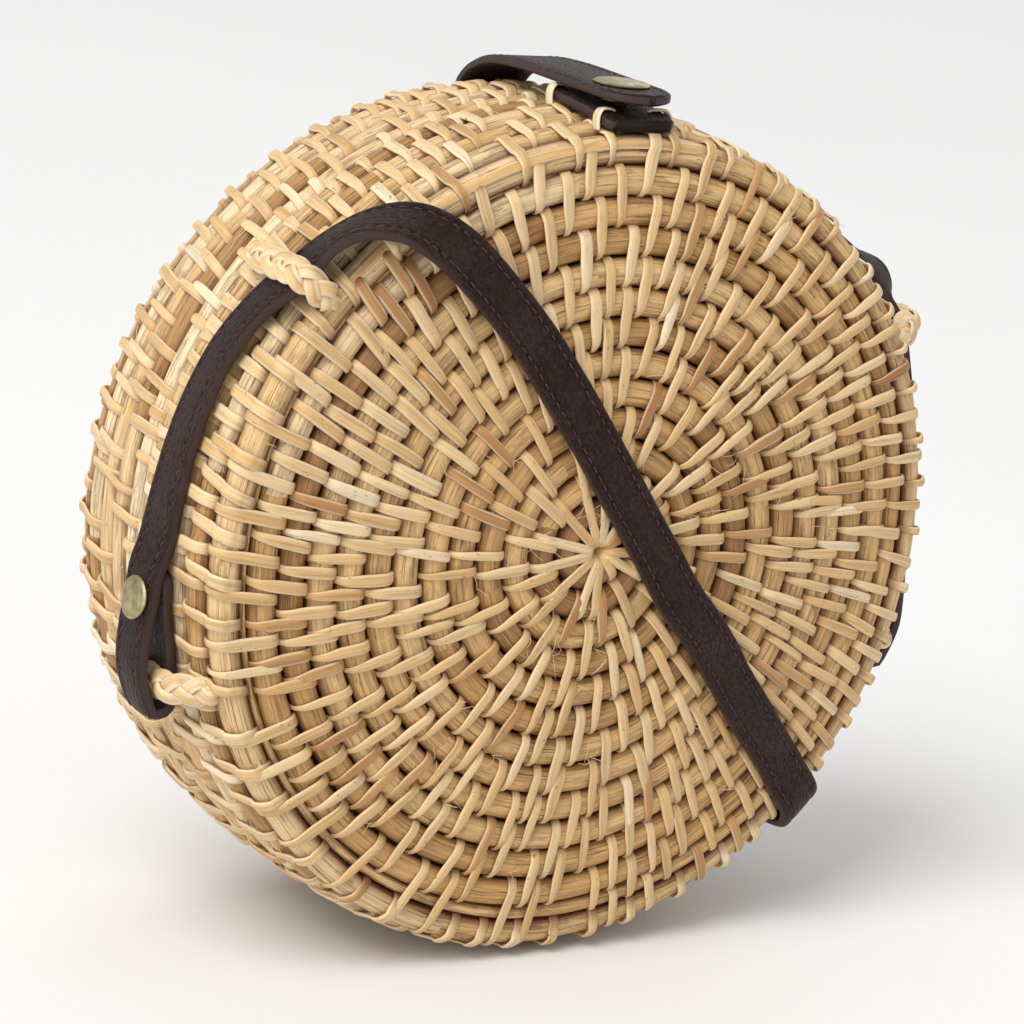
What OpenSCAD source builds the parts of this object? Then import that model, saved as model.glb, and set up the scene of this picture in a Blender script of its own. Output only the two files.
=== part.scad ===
// Round woven rattan bag: two coiled halves joined along the bottom of the
// mouth, a leather flap with a press snap on top, and a narrow leather strap
// wound round the bag through four braided loops.
// Upright on its rim: +Z up, front faces -Y, origin on the resting surface
// below the middle of the mouth.

/* [Bag] */
// Height of the bag's centre above the surface it stands on
centre_z = 99; // [98.8:0.1:99.4]
// Radius of the side wall at the mouth
mouth_r = 100; // [99.8:0.1:100.2]
// Radius of the side wall where it meets the face
corner_r = 97; // [96.8:0.1:97.2]
// Depth of one half from the mouth plane to the edge of its face
half_depth = 35; // [34.8:0.1:35.2]
// How far the middle of a face stands out past its edge
face_crown = 4.6; // [4:0.1:4.7]
// Thickness of the coiled weave
weave_t = 5.5; // [4.5:0.1:5.6]
// Thickness of the cloth lining
lining_t = 0.8; // [0.5:0.1:1]

/* [Mouth] */
// Radius of the round cane core that edges each mouth
coil_r = 3.0; // [2.8:0.05:3.0]
// Radius of the circle that the core follows
coil_major = 94.9; // [94.7:0.1:95]
// Distance of the core from the mouth plane
coil_h = 3.3; // [3.2:0.05:3.3]
// Thickness of the cane lashings at the hinge
lash_t = 0.8; // [0.5:0.1:0.8]
// Width of one turn of a hinge lashing
lash_w = 2.2; // [1.5:0.1:2.4]

/* [Strap] */
// Width of the strap
strap_w = 11.5; // [10:0.5:11.5]
// Thickness of the strap
strap_t = 2.8; // [2:0.1:2.8]
// Radius of the brass cap on a strap rivet
rivet_cap_r = 4.9; // [4:0.1:5]

/* [Loops] */
// Width of a braided loop
loop_w = 6; // [5:0.5:7]
// Thickness of a braided loop
loop_t = 3.4; // [2.8:0.1:3.5]

/* [Clasp] */
// Half the width of the flap
flap_hw = 9.2; // [8:0.1:9.2]
// Thickness of the flap
flap_t = 2.5; // [2:0.1:2.5]
// Half the width of the tab under the flap
tab_hw = 9; // [8:0.1:9]
// Distance of the snap from the mouth plane
snap_h = 22.8; // [22:0.1:23.5]
// Radius of the brass snap cap
cap_r = 6.5; // [5.5:0.1:6.6]

/* [Hidden] */
$fn = 96;

rattan = "#d9bd8c";
cane = "#e6d3a8";
leather = "#3c2724";
brass = "#c9a24a";
cloth = "#8a6a4a";

// ---- profiles of one half, as [radius, distance from the mouth plane] ----
edge_c = [corner_r - 5.3, half_depth - 6.2];   // centre of the rounded edge
edge_r = 6.25;                                 // its radius
function wall_r(h) = corner_r + (mouth_r - corner_r) * (1 - (h / half_depth) * (h / half_depth));
function dome_h(r) = half_depth + face_crown * (1 - (r / 91) * (r / 91));
function edge_pt(a, d = 0) = [edge_c[0] + (edge_r + d) * cos(a), edge_c[1] + (edge_r + d) * sin(a)];
wall_top = half_depth - 6.1;
wall_bottom = 7.4;
lining_r = 90.8;

function face_profile() = concat(
    [for (i = [0:9]) let (r = 91.6 * i / 9.0) [r, dome_h(min(r, 91))]],
    [for (a = [75:-15:15]) edge_pt(a)],
    [[edge_c[0] + edge_r, wall_top + 0.1], [92.3, wall_top + 0.1]],
    [for (i = [8:-1:0]) let (r = 91 * i / 8.0) [r, dome_h(r) - weave_t]]);

function wall_profile() = concat(
    [for (i = [0:4]) let (h = wall_bottom + (wall_top - wall_bottom) * i / 4) [wall_r(h), h]],
    [for (i = [4:-1:0]) let (h = wall_bottom + (wall_top - wall_bottom) * i / 4) [wall_r(h) - 5.7, h]]);

function lining_profile() = concat(
    [[lining_r, 1], [lining_r, dome_h(91) - weave_t - 1.4]],
    [for (i = [8:-1:0]) let (r = 90 * i / 8.0) [r, dome_h(r) - weave_t - 0.5]],
    [for (i = [0:8]) let (r = 89.4 * i / 8.0) [r, dome_h(r) - weave_t - 0.5 - lining_t]],
    [[lining_r - lining_t, dome_h(91) - weave_t - 2.2], [lining_r - lining_t, 1]]);

// A half is drawn round its own axis and then turned to face front or back.
module front_half() { translate([0, 0, centre_z]) rotate([90, 0, 0]) children(); }
module back_half() { translate([0, 0, centre_z]) rotate([-90, 0, 0]) children(); }
// What stands on the ground is pressed flat there.
module grounded() {
    intersection() {
        children();
        translate([-110, -60, 0]) cube([220, 120, 220]);
    }
}
module face_solid() {
    difference() {
        rotate_extrude() polygon(face_profile());
        rotate_extrude() strip_section(0.1);
    }
}
module wall_solid() { rotate_extrude() polygon(wall_profile()); }
module strip_section(grow) {
    translate(edge_c) rotate(45) translate([edge_r - 0.75, 0])
        square([0.8 + 2 * grow, 3.4 + 2 * grow], center = true);
}
module strip_solid() { rotate_extrude() strip_section(0); }
module coil_solid() { translate([0, 0, coil_h]) rotate_extrude() translate([coil_major, 0]) circle(r = coil_r, $fn = 48); }
module lining_solid() { rotate_extrude() polygon(lining_profile()); }

// ---- places on the bag ----
// c: clock angle seen from the front, h: distance in front of the mouth plane
module on_wall(c, h, r, tip = 0, tilt = 0) {
    translate([0, 0, centre_z]) rotate([0, c, 0]) translate([0, -h, r])
        rotate([0, tip, 0]) rotate([tilt, 0, 0]) children();
}
// A flat profile of [h, r] points, extruded to a width across the bag's top.
module across(w) {
    rotate([90, 0, -90]) linear_extrude(height = w, center = true) children();
}
module top_piece(w) { translate([0, 0, centre_z]) across(w) children(); }
// across() maps [x, y] of the profile to [h toward the front, height].

// ---- the two halves ----
module front_face() { color(rattan) front_half() face_solid(); }
module front_wall() { color(rattan) grounded() front_half() wall_solid(); }
module front_corner_strip() { color(cane) front_half() strip_solid(); }
module front_mouth_coil() { color(cane) front_half() coil_solid(); }
module front_lining() { color(cloth) front_half() lining_solid(); }

module back_face() {
    color(rattan) difference() {
        back_half() face_solid();
        flap_slot();
        flap_tie_bores();
    }
}
module back_wall() { color(rattan) difference() { grounded() back_half() wall_solid(); flap_slot(); } }
module back_corner_strip() { color(cane) difference() { back_half() strip_solid(); flap_slot(); } }
module back_mouth_coil() { color(cane) back_half() coil_solid(); }
module back_lining() { color(cloth) back_half() lining_solid(); }

// ---- clasp: tab, snap and flap ----
tab_top = [[5, 102.6], [12, 102.2], [28, 101.2], [30.5, 100.4], [33.6, 98.2]];
tab_under = [[32.8, 96.9], [30.5, 98.0], [18, 99.5], [5, 100.2]];
seat_z = 101.2;
module base_tab() {
    color(leather) difference() {
        top_piece(2 * tab_hw) polygon(concat(tab_top, tab_under));
        on_wall(0, snap_h, seat_z) cylinder(r = 4.4, h = 5);
        on_wall(0, snap_h, 97) cylinder(r = 1.3, h = 6);
        on_wall(0, snap_h, 96) cylinder(r = 3.2, h = 3.95);
    }
}
// One rattan tie at a corner of the tab: over the edge and down into the weave.
module tab_tie(side, h, top, foot) {
    color(cane) mirror([side < 0 ? 1 : 0, 0, 0])
        translate([0, -h, centre_z]) rotate([90, 0, 0]) linear_extrude(height = 2.4, center = true)
            polygon([[5.5, top], [10.7, top], [10.7, foot], [9.4, foot], [9.4, top - 1], [5.5, top - 1]]);
}
module tab_ties() {
    for (s = [-1, 1]) {
        tab_tie(s, 8.2, 103.6, 99.7);
        tab_tie(s, 27.0, 102.5, 98.0);
    }
}
module snap_post() {
    color(brass) on_wall(0, snap_h, 0) {
        translate([0, 0, 99.4]) cylinder(r = 3, h = 0.5);
        translate([0, 0, 99.6]) cylinder(r = 1.25, h = seat_z - 99.6);
    }
}
module snap_stud() {
    color(brass) on_wall(0, snap_h, seat_z) rotate_extrude()
        polygon([[0, 0], [4.2, 0], [4.2, 0.3], [2.2, 0.5], [1.6, 0.7], [1.9, 1.1], [1.5, 1.35], [0, 1.35]]);
}
module snap_socket() {
    color(brass) on_wall(0, snap_h, 102.8) rotate_extrude()
        polygon([[2.3, 0], [4.2, 0], [4.6, 0.4], [4.6, 1.2], [0, 1.2], [0, 0.9], [2.3, 0.9]]);
}
module snap_cap() {
    color(brass) on_wall(0, snap_h, 0) rotate_extrude()
        polygon([[0, 104.0], [1.6, 104.0], [1.6, 106.7], [cap_r, 106.7], [cap_r + 0.05, 106.95],
                 [cap_r - 0.4, 107.25], [cap_r - 1.6, 107.5], [cap_r - 3.3, 107.68], [0, 107.75]]);
}
flap_top = [[-32.45, 97.6], [-32, 98.5], [-30, 100.8], [-27, 103], [-22, 105], [-15, 106.3],
            [0, 106.9], [15, 106.65], [27, 106.5], [38, 106.3]];
function unit(v) = v / norm(v);
function along(p, i) = unit(p[min(i + 1, len(p) - 1)] - p[max(i - 1, 0)]);
function under(p, t) = [for (i = [0:len(p) - 1]) let (d = along(p, i)) p[i] + t * [d[1], -d[0]]];
function reversed(p) = [for (i = [len(p) - 1:-1:0]) p[i]];
flap_pivot = [-32.45, 97.6];
module clasp_flap() {
    color(leather) difference() {
        intersection() {
            top_piece(2 * flap_hw) polygon(concat(flap_top, reversed(under(flap_top, flap_t))));
            translate([0, 0, centre_z + 80]) union() {
                translate([-flap_hw, -26.6, 0]) cube([2 * flap_hw, 70, 40]);
                translate([0, -26.6, 0]) cylinder(r = flap_hw, h = 40);
            }
        }
        on_wall(0, snap_h, 100) cylinder(r = 1.65, h = 10);
    }
}
root_top = [[-34.0, 82], [-34.0, 92.5], [-33.8, 94.4], [-33.3, 95.8], [-32.6, 97.3]];
root_under = [[-30.4, 96.1], [-31.0, 94.6], [-31.4, 92.5], [-31.4, 82]];
module flap_root() {
    color(leather) difference() {
        top_piece(2 * flap_hw) polygon(concat(root_top, root_under));
        flap_tie_bores();
    }
}
// The slot in the weave that the flap's root goes into, open at the edge.
module flap_slot() {
    top_piece(2 * flap_hw + 0.8) polygon([[-34.2, 81.7], [-34.2, 92.6], [-34.1, 95], [-36, 96.5], [-36, 101], [-28.4, 101],
        [-28.4, 97.7], [-29.3, 96.6], [-30.1, 95.8], [-30.8, 94.4], [-31.2, 92.4], [-31.2, 81.7]]);
    translate([0, -flap_pivot[0], centre_z + flap_pivot[1]]) rotate([0, 90, 0])
        cylinder(r = flap_t + 0.5, h = 2 * flap_hw + 0.8, center = true);
}
module at_flap_ties() { for (x = [-5, 5]) translate([x, 0, centre_z + 86]) rotate([-90, 0, 0]) children(); }
module flap_tie_bores() { at_flap_ties() translate([0, 0, 28]) cylinder(r = 0.85, h = 12); }
module flap_ties() { color(cane) at_flap_ties() { translate([0, 0, 30.1]) cylinder(r = 0.8, h = 6.1); translate([0, 0, 35.9]) cylinder(r = 1.4, h = 0.7); } }

// ---- braided loops, as arches of [h, r] over the strap ----
arch_high = [[5, 100.2], [7.6, 102.4], [11.5, 104.4], [17, 105.2], [26, 105.5], [31.5, 106.0], [34.5, 105.3], [36.2, 101.8], [36.5, 98], [35.7, 94.6]];
arch_mid = [[5, 100.2], [7.6, 102.7], [10.6, 104.8], [13, 105.15], [16, 105.15], [24.3, 104.9], [27.7, 103.5], [31.0, 100.9], [33.4, 97.9], [35.1, 94.8]];
arch_low = [[5, 100.2], [6.6, 102.4], [8.6, 103.5], [14, 103.55], [20.5, 103.5], [24.4, 102.5], [28.3, 101.0], [31.7, 98.9], [34.1, 96.6], [35.3, 94.6]];
function over(p, t) = [for (i = [0:len(p) - 1]) let (d = along(p, i)) p[i] + t * [-d[1], d[0]]];
module loop_at(c, arch) {
    color(cane) translate([0, 0, centre_z]) rotate([0, c, 0]) across(loop_w)
        polygon(concat(arch, reversed(over(arch, loop_t))));
}
module upper_left_loop() { loop_at(308, arch_high); }
module lower_left_loop() { loop_at(254, arch_low); }
module upper_right_loop() { loop_at(60, arch_mid); }
module lower_right_loop() { loop_at(106, arch_low); }

// ---- strap: stations of [x, y, z, nx, ny, nz] ----
// W: on the side wall, c clock angle, h in front of the mouth, r radius, t tilt of its face
function W(c, h, r, t) = [r * sin(c), -h, centre_z + r * cos(c), cos(t) * sin(c), -sin(t), cos(t) * cos(c)];
// P: on the front face, B: on the back face, x and z from the bag's centre
function P(x, z, h) = [x, -h, centre_z + z, 0, -1, 0];
function B(x, z) = [x, dome_h(min(91, norm([x, z]))) + 1.85, centre_z + z, 0, 1, 0];
// On the folded-under end the band's faces have changed sides, so its tilt is turned half round.
lower_left_fold = [W(267.3, 14.6, 101.5, 184), W(262, 14.6, 101.5, 184), W(255, 14.5, 101.55, 182.5),
    W(251.8, 14.5, 101.9, 181)];
function fold_turn(c, m) = [for (a = [-60:30:60]) let (r = 105.45 + 2.95 * sin(a), k = c - m * 3.4 * cos(a) / 105.2 * 57.3)
    [r * sin(k), -14.5, centre_z + r * cos(k), -m * cos(a) * cos(k) + sin(a) * sin(k), 0, m * cos(a) * sin(k) + sin(a) * cos(k)]];
front_route = [W(255, 14.5, 108.6, 0), W(259.5, 14.6, 106.9, 3), W(263.7, 14.7, 104.9, 4), W(267.4, 14.7, 103.8, 6), W(270.4, 14.7, 102.0, 7),
    W(272.8, 14.8, 101.5, 4.8), W(277.6, 15.5, 101.4, 3), W(283.4, 15.7, 101.5, 0), W(290, 16, 101.7, -4),
    W(296.6, 16.9, 101.9, -6.5), W(303.3, 20.8, 102.4, -7.7), W(307.3, 26.3, 103.2, -4), W(310.8, 28.4, 103.5, -6),
    W(314.7, 31.4, 104.1, -14), W(318.5, 34.1, 102.2, -2), W(322.5, 37.0, 97.3, 24), W(325.7, 39.3, 88.2, 55), W(328.9, 39.6, 74.4, 80),
    P(-26.6, 52.1, 39.8), P(-19.1, 43.1, 40.4), P(-8.1, 29.2, 41.0), P(2.8, 14.9, 41.2), P(14.2, 0.1, 41.2), P(21.8, -9.9, 41.1),
    P(31.8, -20.4, 40.7), P(44.7, -36.4, 39.7), P(59.4, -53.1, 37.9), P(63.5, -58, 37.3),
    W(133.0, 36.6, 93.6, 72), W(133.6, 34.5, 97.4, 45), W(134, 31, 99.5, 15), W(134.3, 25, 100.4, 7), W(134.6, 15, 101.3, 4),
    W(134.8, 6, 101.7, 1), W(134.9, 0.3, 101.8, 0)];
back_route = [W(134.9, -0.3, 101.8, 0), W(134.9, -8, 101.6, -2), W(134.8, -16, 101.2, -4), W(134.7, -25, 100.4, -7),
    W(134.6, -31, 99.5, -15), W(134.5, -34.5, 97.4, -45), W(134.4, -36.6, 93.6, -72),
    B(60, -58), B(53, -48), B(47, -36), B(43, -22), B(41, -8), B(41.3, 6), B(42.8, 20), B(45.2, 33), B(49.6, 45), B(57.3, 55.8),
    W(46.0, -36.6, 93.6, -72), W(45.8, -34.5, 97.4, -45), W(45.5, -31, 99.5, -15), W(45.3, -25, 100.4, -8), W(45.1, -16, 101.3, -4),
    W(45.3, -9, 101.7, -2), W(45.9, -3.5, 102.0, -1), W(46.5, -0.4, 102.2, 0)];
right_route = [W(46.7, 0.4, 102.3, 0), W(48.7, 6.4, 102.9, 0), W(51.2, 11.6, 104.0, 0), W(54.1, 15.6, 104.4, 1),
    W(57, 17.8, 103.4, 2), W(60.5, 18.4, 102.9, 4), W(66, 18.2, 102.2, 5), W(73, 17.2, 101.5, 5), W(80, 16, 101.4, 4.5), W(87, 14.8, 101.6, 5),
    W(89.6, 14.7, 102.0, 7), W(92.6, 14.7, 103.8, 6), W(96.3, 14.7, 104.9, 4), W(100.5, 14.6, 106.9, 3), W(105, 14.5, 108.6, 0)];
lower_right_fold = [W(108.2, 14.5, 101.9, 181), W(105, 14.5, 101.55, 182.5), W(98, 14.6, 101.5, 184), W(92.7, 14.6, 101.5, 184)];

// a smooth curve through the stations
function cr(a, b, c, d, t) = 0.5 * ((2 * b) + (c - a) * t + (2 * a - 5 * b + 4 * c - d) * t * t + (3 * b - a - 3 * c + d) * t * t * t);
function smooth(p, k) = concat([for (i = [0:len(p) - 2]) for (j = [0:k - 1])
    cr(p[max(i - 1, 0)], p[i], p[i + 1], p[min(i + 2, len(p) - 1)], j / k)], [p[len(p) - 1]]);
function pos(s) = [s[0], s[1], s[2]];
function nrm(s) = unit([s[3], s[4], s[5]]);
// a flat band of the strap's section along the stations
module band(route, k) {
    s = smooth(route, k);
    n = len(s);
    ring = [for (i = [0:n - 1]) let (d = unit(pos(s[min(i + 1, n - 1)]) - pos(s[max(i - 1, 0)])),
        w = unit(cross(d, nrm(s[i]))), m = cross(w, d))
        [for (q = [[-1, -1], [1, -1], [1, 1], [-1, 1]]) pos(s[i]) + q[0] * strap_w / 2 * w + q[1] * strap_t / 2 * m]];
    points = [for (r = ring) for (p = r) p];
    faces = concat([[0, 1, 2, 3]], [[4 * n - 1, 4 * n - 2, 4 * n - 3, 4 * n - 4]],
        [for (i = [0:n - 2]) for (j = [0:3]) let (a = 4 * i + j, b = 4 * i + (j + 1) % 4) each [[a, a + 4, b], [b, a + 4, b + 4]]]);
    polyhedron(points = points, faces = faces);
}
module strap_front() { color(leather) band(concat(lower_left_fold, fold_turn(251.3, 1), front_route), 2); }
module strap_back() { color(leather) band(back_route, 2); }
module strap_right() { color(leather) band(concat(right_route, reversed(fold_turn(108.7, -1)), lower_right_fold), 2); }
module at_rivets() {
    on_wall(263.7, 14.7, 104.9, 15.5, 4) children();
    on_wall(96.3, 14.7, 104.9, -15.5, 4) children();
}
module strap_rivet_caps() {
    color(brass) at_rivets() rotate_extrude()
        polygon([[0, 1.9], [rivet_cap_r, 1.9], [rivet_cap_r, 2.2], [rivet_cap_r - 0.5, 2.6], [rivet_cap_r - 1.7, 3.0], [rivet_cap_r - 3, 3.2], [0, 3.3]]);
}
module strap_rivet_posts() { color(brass) at_rivets() translate([0, 0, -4.5]) cylinder(r = 1.5, h = 6.4); }

// ---- hinge: cane lashings round both mouth cores at the bottom ----
module lashing(c) {
    translate([0, 0, centre_z]) rotate([0, c, 0]) translate([0, 0, coil_major])
        rotate([90, 0, -90]) linear_extrude(height = lash_w, center = true) difference() {
            union() {
                translate([-coil_h, 0]) circle(r = coil_r + 0.05 + lash_t, $fn = 48);
                translate([coil_h, 0]) circle(r = coil_r + 0.05 + lash_t, $fn = 48);
                square([2 * coil_h, 2 * (coil_r + 0.05 + lash_t)], center = true);
            }
            translate([-coil_h, 0]) circle(r = coil_r + 0.05, $fn = 48);
            translate([coil_h, 0]) circle(r = coil_r + 0.05, $fn = 48);
            square([2 * coil_h, 2 * (coil_r + 0.05)], center = true);
        }
}
module hinge_ties() { color(cane) for (k = [-1, 1], j = [-1:1]) lashing(180 + 9 * k + 1.6 * j); }

front_face();
front_wall();
front_corner_strip();
front_mouth_coil();
front_lining();
back_face();
back_wall();
back_corner_strip();
back_mouth_coil();
back_lining();
upper_left_loop();
lower_left_loop();
upper_right_loop();
lower_right_loop();
base_tab();
tab_ties();
snap_post();
snap_stud();
snap_socket();
snap_cap();
clasp_flap();
flap_root();
flap_ties();
strap_front();
strap_right();
strap_back();
strap_rivet_caps();
strap_rivet_posts();
hinge_ties();
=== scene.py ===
import bpy, math, heapq
import numpy as np
from mathutils import Matrix, Vector


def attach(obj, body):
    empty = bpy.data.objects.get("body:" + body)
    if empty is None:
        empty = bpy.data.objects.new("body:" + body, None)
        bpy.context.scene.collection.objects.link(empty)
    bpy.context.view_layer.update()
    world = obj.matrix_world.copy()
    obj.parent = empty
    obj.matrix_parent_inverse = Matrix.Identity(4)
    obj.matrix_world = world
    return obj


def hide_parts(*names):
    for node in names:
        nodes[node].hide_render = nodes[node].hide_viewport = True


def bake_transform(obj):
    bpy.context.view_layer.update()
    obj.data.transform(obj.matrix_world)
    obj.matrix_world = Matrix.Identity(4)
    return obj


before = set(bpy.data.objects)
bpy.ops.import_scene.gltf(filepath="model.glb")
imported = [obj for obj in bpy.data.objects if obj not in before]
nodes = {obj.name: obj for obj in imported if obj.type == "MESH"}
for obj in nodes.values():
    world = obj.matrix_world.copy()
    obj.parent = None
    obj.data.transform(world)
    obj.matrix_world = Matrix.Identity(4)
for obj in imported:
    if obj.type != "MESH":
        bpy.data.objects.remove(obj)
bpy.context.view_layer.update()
CZ = 99.0          # height of the bag's centre, mm
D2R = math.pi / 180


# ------------------------------------------------------------------ meshes
class Soup:
    """Collects swept pieces into one mesh. Lengths in mm."""

    def __init__(self):
        self.v, self.loops, self.sizes, self.grain, self.tone, self.edge = [], [], [], [], [], []
        self.n = 0

    def sweep(self, rings, along, around, seed=0.5, tone=0.5, edge=None, caps=True, loop=False):
        k, m = rings.shape[0], rings.shape[1]
        base = self.n
        self.v.append(rings.reshape(-1, 3))
        g = np.empty((k, m, 3))
        g[..., 0] = np.asarray(along)[:, None]
        g[..., 1] = np.asarray(around)[None, :] if np.ndim(around) == 1 else around
        g[..., 2] = seed
        self.grain.append(g.reshape(-1, 3))
        self.tone.append(np.full(k * m, tone) if np.ndim(tone) == 0 else np.repeat(np.asarray(tone), m))
        self.edge.append(np.zeros(k * m) if edge is None else np.broadcast_to(np.asarray(edge, float), (k, m)).reshape(-1))
        i = np.arange(k if loop else k - 1)[:, None]
        j = np.arange(m)[None, :]
        i2, j2 = (i + 1) % k, (j + 1) % m
        q = np.stack([i * m + j, i * m + j2, i2 * m + j2, i2 * m + j], -1).reshape(-1, 4) + base
        self.loops.append(q.reshape(-1))
        self.sizes.append(np.full(len(q), 4))
        if caps and not loop:
            self.loops.append(base + np.arange(m)[::-1])
            self.loops.append(base + (k - 1) * m + np.arange(m))
            self.sizes.append(np.array([m, m]))
        self.n += k * m

    def grid(self, pts, grain=None, seed=0.5, tone=0.5):
        k, m = pts.shape[:2]
        base = self.n
        self.v.append(pts.reshape(-1, 3))
        self.grain.append((pts if grain is None else grain).reshape(-1, 3))
        self.tone.append(np.full(k * m, tone))
        self.edge.append(np.zeros(k * m))
        i, j = np.arange(k - 1)[:, None], np.arange(m - 1)[None, :]
        q = np.stack([i * m + j, i * m + j + 1, (i + 1) * m + j + 1, (i + 1) * m + j], -1).reshape(-1, 4) + base
        self.loops.append(q.reshape(-1))
        self.sizes.append(np.full(len(q), 4))
        self.n += k * m

    def build(self, name, material, slot_name, body=None, replaces=(), spin=False, ground=False, blend=None):
        v = np.concatenate(self.v)
        if ground:
            z = v[:, 2]
            low = z < 0.6
            v[low, 2] = 0.6 * np.exp((z[low] - 0.6) / 0.6)
        if spin:
            v[:, 0] *= -1
            v[:, 1] *= -1
        loops, sizes = np.concatenate(self.loops), np.concatenate(self.sizes)
        me = bpy.data.meshes.new(name)
        me.vertices.add(len(v))
        me.vertices.foreach_set("co", (v / 1000).astype(np.float32).reshape(-1))
        me.loops.add(len(loops))
        me.loops.foreach_set("vertex_index", loops.astype(np.int32))
        me.polygons.add(len(sizes))
        me.polygons.foreach_set("loop_start", np.concatenate([[0], np.cumsum(sizes)[:-1]]).astype(np.int32))
        me.update(calc_edges=True)
        me.validate()
        me.polygons.foreach_set("use_smooth", np.ones(len(me.polygons), bool))
        # the edge attribute marks the leather's cut edges; on cane and rattan it holds painted shade for the gaps
        # between rows
        for nm, kind, data in (("grain", "FLOAT_VECTOR", self.grain), ("tone", "FLOAT", self.tone), ("edge", "FLOAT", self.edge)):
            a = me.attributes.new(nm, kind, "POINT")
            a.data.foreach_set("vector" if kind == "FLOAT_VECTOR" else "value", np.concatenate(data).astype(np.float32).reshape(-1))
        me.materials.append(material)
        ob = bpy.data.objects.new(name, me)
        bpy.context.scene.collection.objects.link(ob)
        for nd in replaces:
            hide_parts(nd)
        if blend:
            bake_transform(ob)
        elif body:
            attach(ob, body)
        return ob


def unit(a):
    return a / np.maximum(np.linalg.norm(a, axis=-1, keepdims=True), 1e-9)


def catmull(p, k):
    """A smooth curve through the rows of p, with k steps between neighbours."""
    p = np.asarray(p, float)
    q = np.vstack([2 * p[0] - p[1], p, 2 * p[-1] - p[-2]])
    t = (np.arange(k) / k)[None, :, None]
    a, b, c, d = (q[i:len(q) - 3 + i][:, None, :] for i in range(4))
    s = 0.5 * (2 * b + (c - a) * t + (2 * a - 5 * b + 4 * c - d) * t ** 2 + (3 * b - a - 3 * c + d) * t ** 3)
    return np.vstack([s.reshape(-1, p.shape[1]), p[-1]])


def even(p, step=None, count=None):
    """Points at even distances along the first three columns of p."""
    s = np.concatenate([[0], np.cumsum(np.linalg.norm(np.diff(p[:, :3], axis=0), axis=1))])
    n = count or max(2, int(round(s[-1] / step)) + 1)
    t = np.linspace(0, s[-1], n)
    return np.stack([np.interp(t, s, p[:, i]) for i in range(p.shape[1])], 1), t


def tangents(p, loop=False):
    if loop:
        return unit(np.roll(p, -1, 0) - np.roll(p, 1, 0))
    return unit(np.gradient(p, axis=0))


# section of a flat cane strip: half widths, half thicknesses
FLAT = np.array([[-1, -.45], [-.95, .36], [-.62, .86], [0, 1], [.62, .86], [.95, .36], [1, -.45], [.88, -.9], [-.88, -.9]])
FLAT_AROUND = np.array([-1, -.95, -.55, 0, .55, .95, 1, .9, -.9])


def strip(soup, p, up, width, thick, seed, tone, loop=False, painted_dive_shade=None):
    """A flat strip along p, with its face towards up. width may vary along it."""
    t = tangents(p, loop)
    w = unit(np.cross(t, up))
    n = unit(np.cross(w, t))
    width = np.broadcast_to(np.asarray(width, float), (len(p),))
    thick = np.broadcast_to(np.asarray(thick, float), (len(p),))
    rings = p[:, None] + FLAT[None, :, :1] * w[:, None] * width[:, None, None] / 2 + FLAT[None, :, 1:] * n[:, None] * thick[:, None, None] / 2
    s = np.concatenate([[0], np.cumsum(np.linalg.norm(np.diff(p, axis=0), axis=1))])
    # dive, stored as the edge attribute, is painted shade along the strip
    soup.sweep(rings, s, FLAT_AROUND * float(np.mean(width)) / 2, seed, tone, None if painted_dive_shade is None else np.asarray(painted_dive_shade)[:, None], loop=loop)


def tube(soup, p, up, ru, rn, seed, tone, loop=False, m=16, power=1.0, along=None, shade=False):
    """A rod along p; ru is its half width across up, rn its half height along up."""
    t = tangents(p, loop)
    w = unit(np.cross(t, up))
    n = unit(np.cross(w, t))
    a = np.linspace(0, 2 * math.pi, m, endpoint=False)
    cu = np.sign(np.cos(a)) * np.abs(np.cos(a)) ** power
    cn = np.sign(np.sin(a)) * np.abs(np.sin(a)) ** power
    ru = np.broadcast_to(np.asarray(ru, float), (len(p),))
    rn = np.broadcast_to(np.asarray(rn, float), (len(p),))
    rings = p[:, None] + cu[None, :, None] * w[:, None] * ru[:, None, None] + cn[None, :, None] * n[:, None] * rn[:, None, None]
    s = np.concatenate([[0], np.cumsum(np.linalg.norm(np.diff(p, axis=0), axis=1))]) if along is None else along
    # with shade set, the edge values are painted shade: none on the rod's top, growing over its sides to full on its
    # underside
    soup.sweep(rings, s, a * float(np.mean(ru)), seed, tone, np.clip((0.82 - np.sin(a)) / 0.85, 0, 1) ** 1.15 if shade else None, loop=loop)


# --------------------------------------------------------------- materials
def material(name):
    m = bpy.data.materials.new(name)
    m.use_nodes = True
    nt = m.node_tree
    return m, nt, nt.nodes["Principled BSDF"]


def node(nt, kind, **kw):
    n = nt.nodes.new(kind)
    for k, v in kw.items():
        if k.startswith("in_"):
            n.inputs[k[3:].replace("_", " ")].default_value = v
        else:
            setattr(n, k, v)
    return n


def ramp(nt, stops, interp="LINEAR"):
    r = nt.nodes.new("ShaderNodeValToRGB")
    r.color_ramp.interpolation = interp
    e = r.color_ramp.elements
    while len(e) < len(stops):
        e.new(0.5)
    for el, (p, c) in zip(e, stops):
        el.position = p
        el.color = (c, c, c, 1) if np.ndim(c) == 0 else (*c, 1)
    return r


def mix(nt, kind, fac, a, b):
    m = nt.nodes.new("ShaderNodeMix")
    m.data_type = "RGBA"
    m.blend_type = kind
    for socket, x in ((m.inputs[0], fac), (m.inputs[6], a), (m.inputs[7], b)):
        if isinstance(x, bpy.types.NodeSocket):
            nt.links.new(x, socket)
        else:
            socket.default_value = x if np.ndim(x) == 0 else (*x, 1)
    return m.outputs[2]


def math_node(nt, op, a, b=0.0):
    m = nt.nodes.new("ShaderNodeMath")
    m.operation = op
    for socket, x in zip(m.inputs, (a, b)):
        if isinstance(x, bpy.types.NodeSocket):
            nt.links.new(x, socket)
        else:
            socket.default_value = x
    return m.outputs[0]


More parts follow.
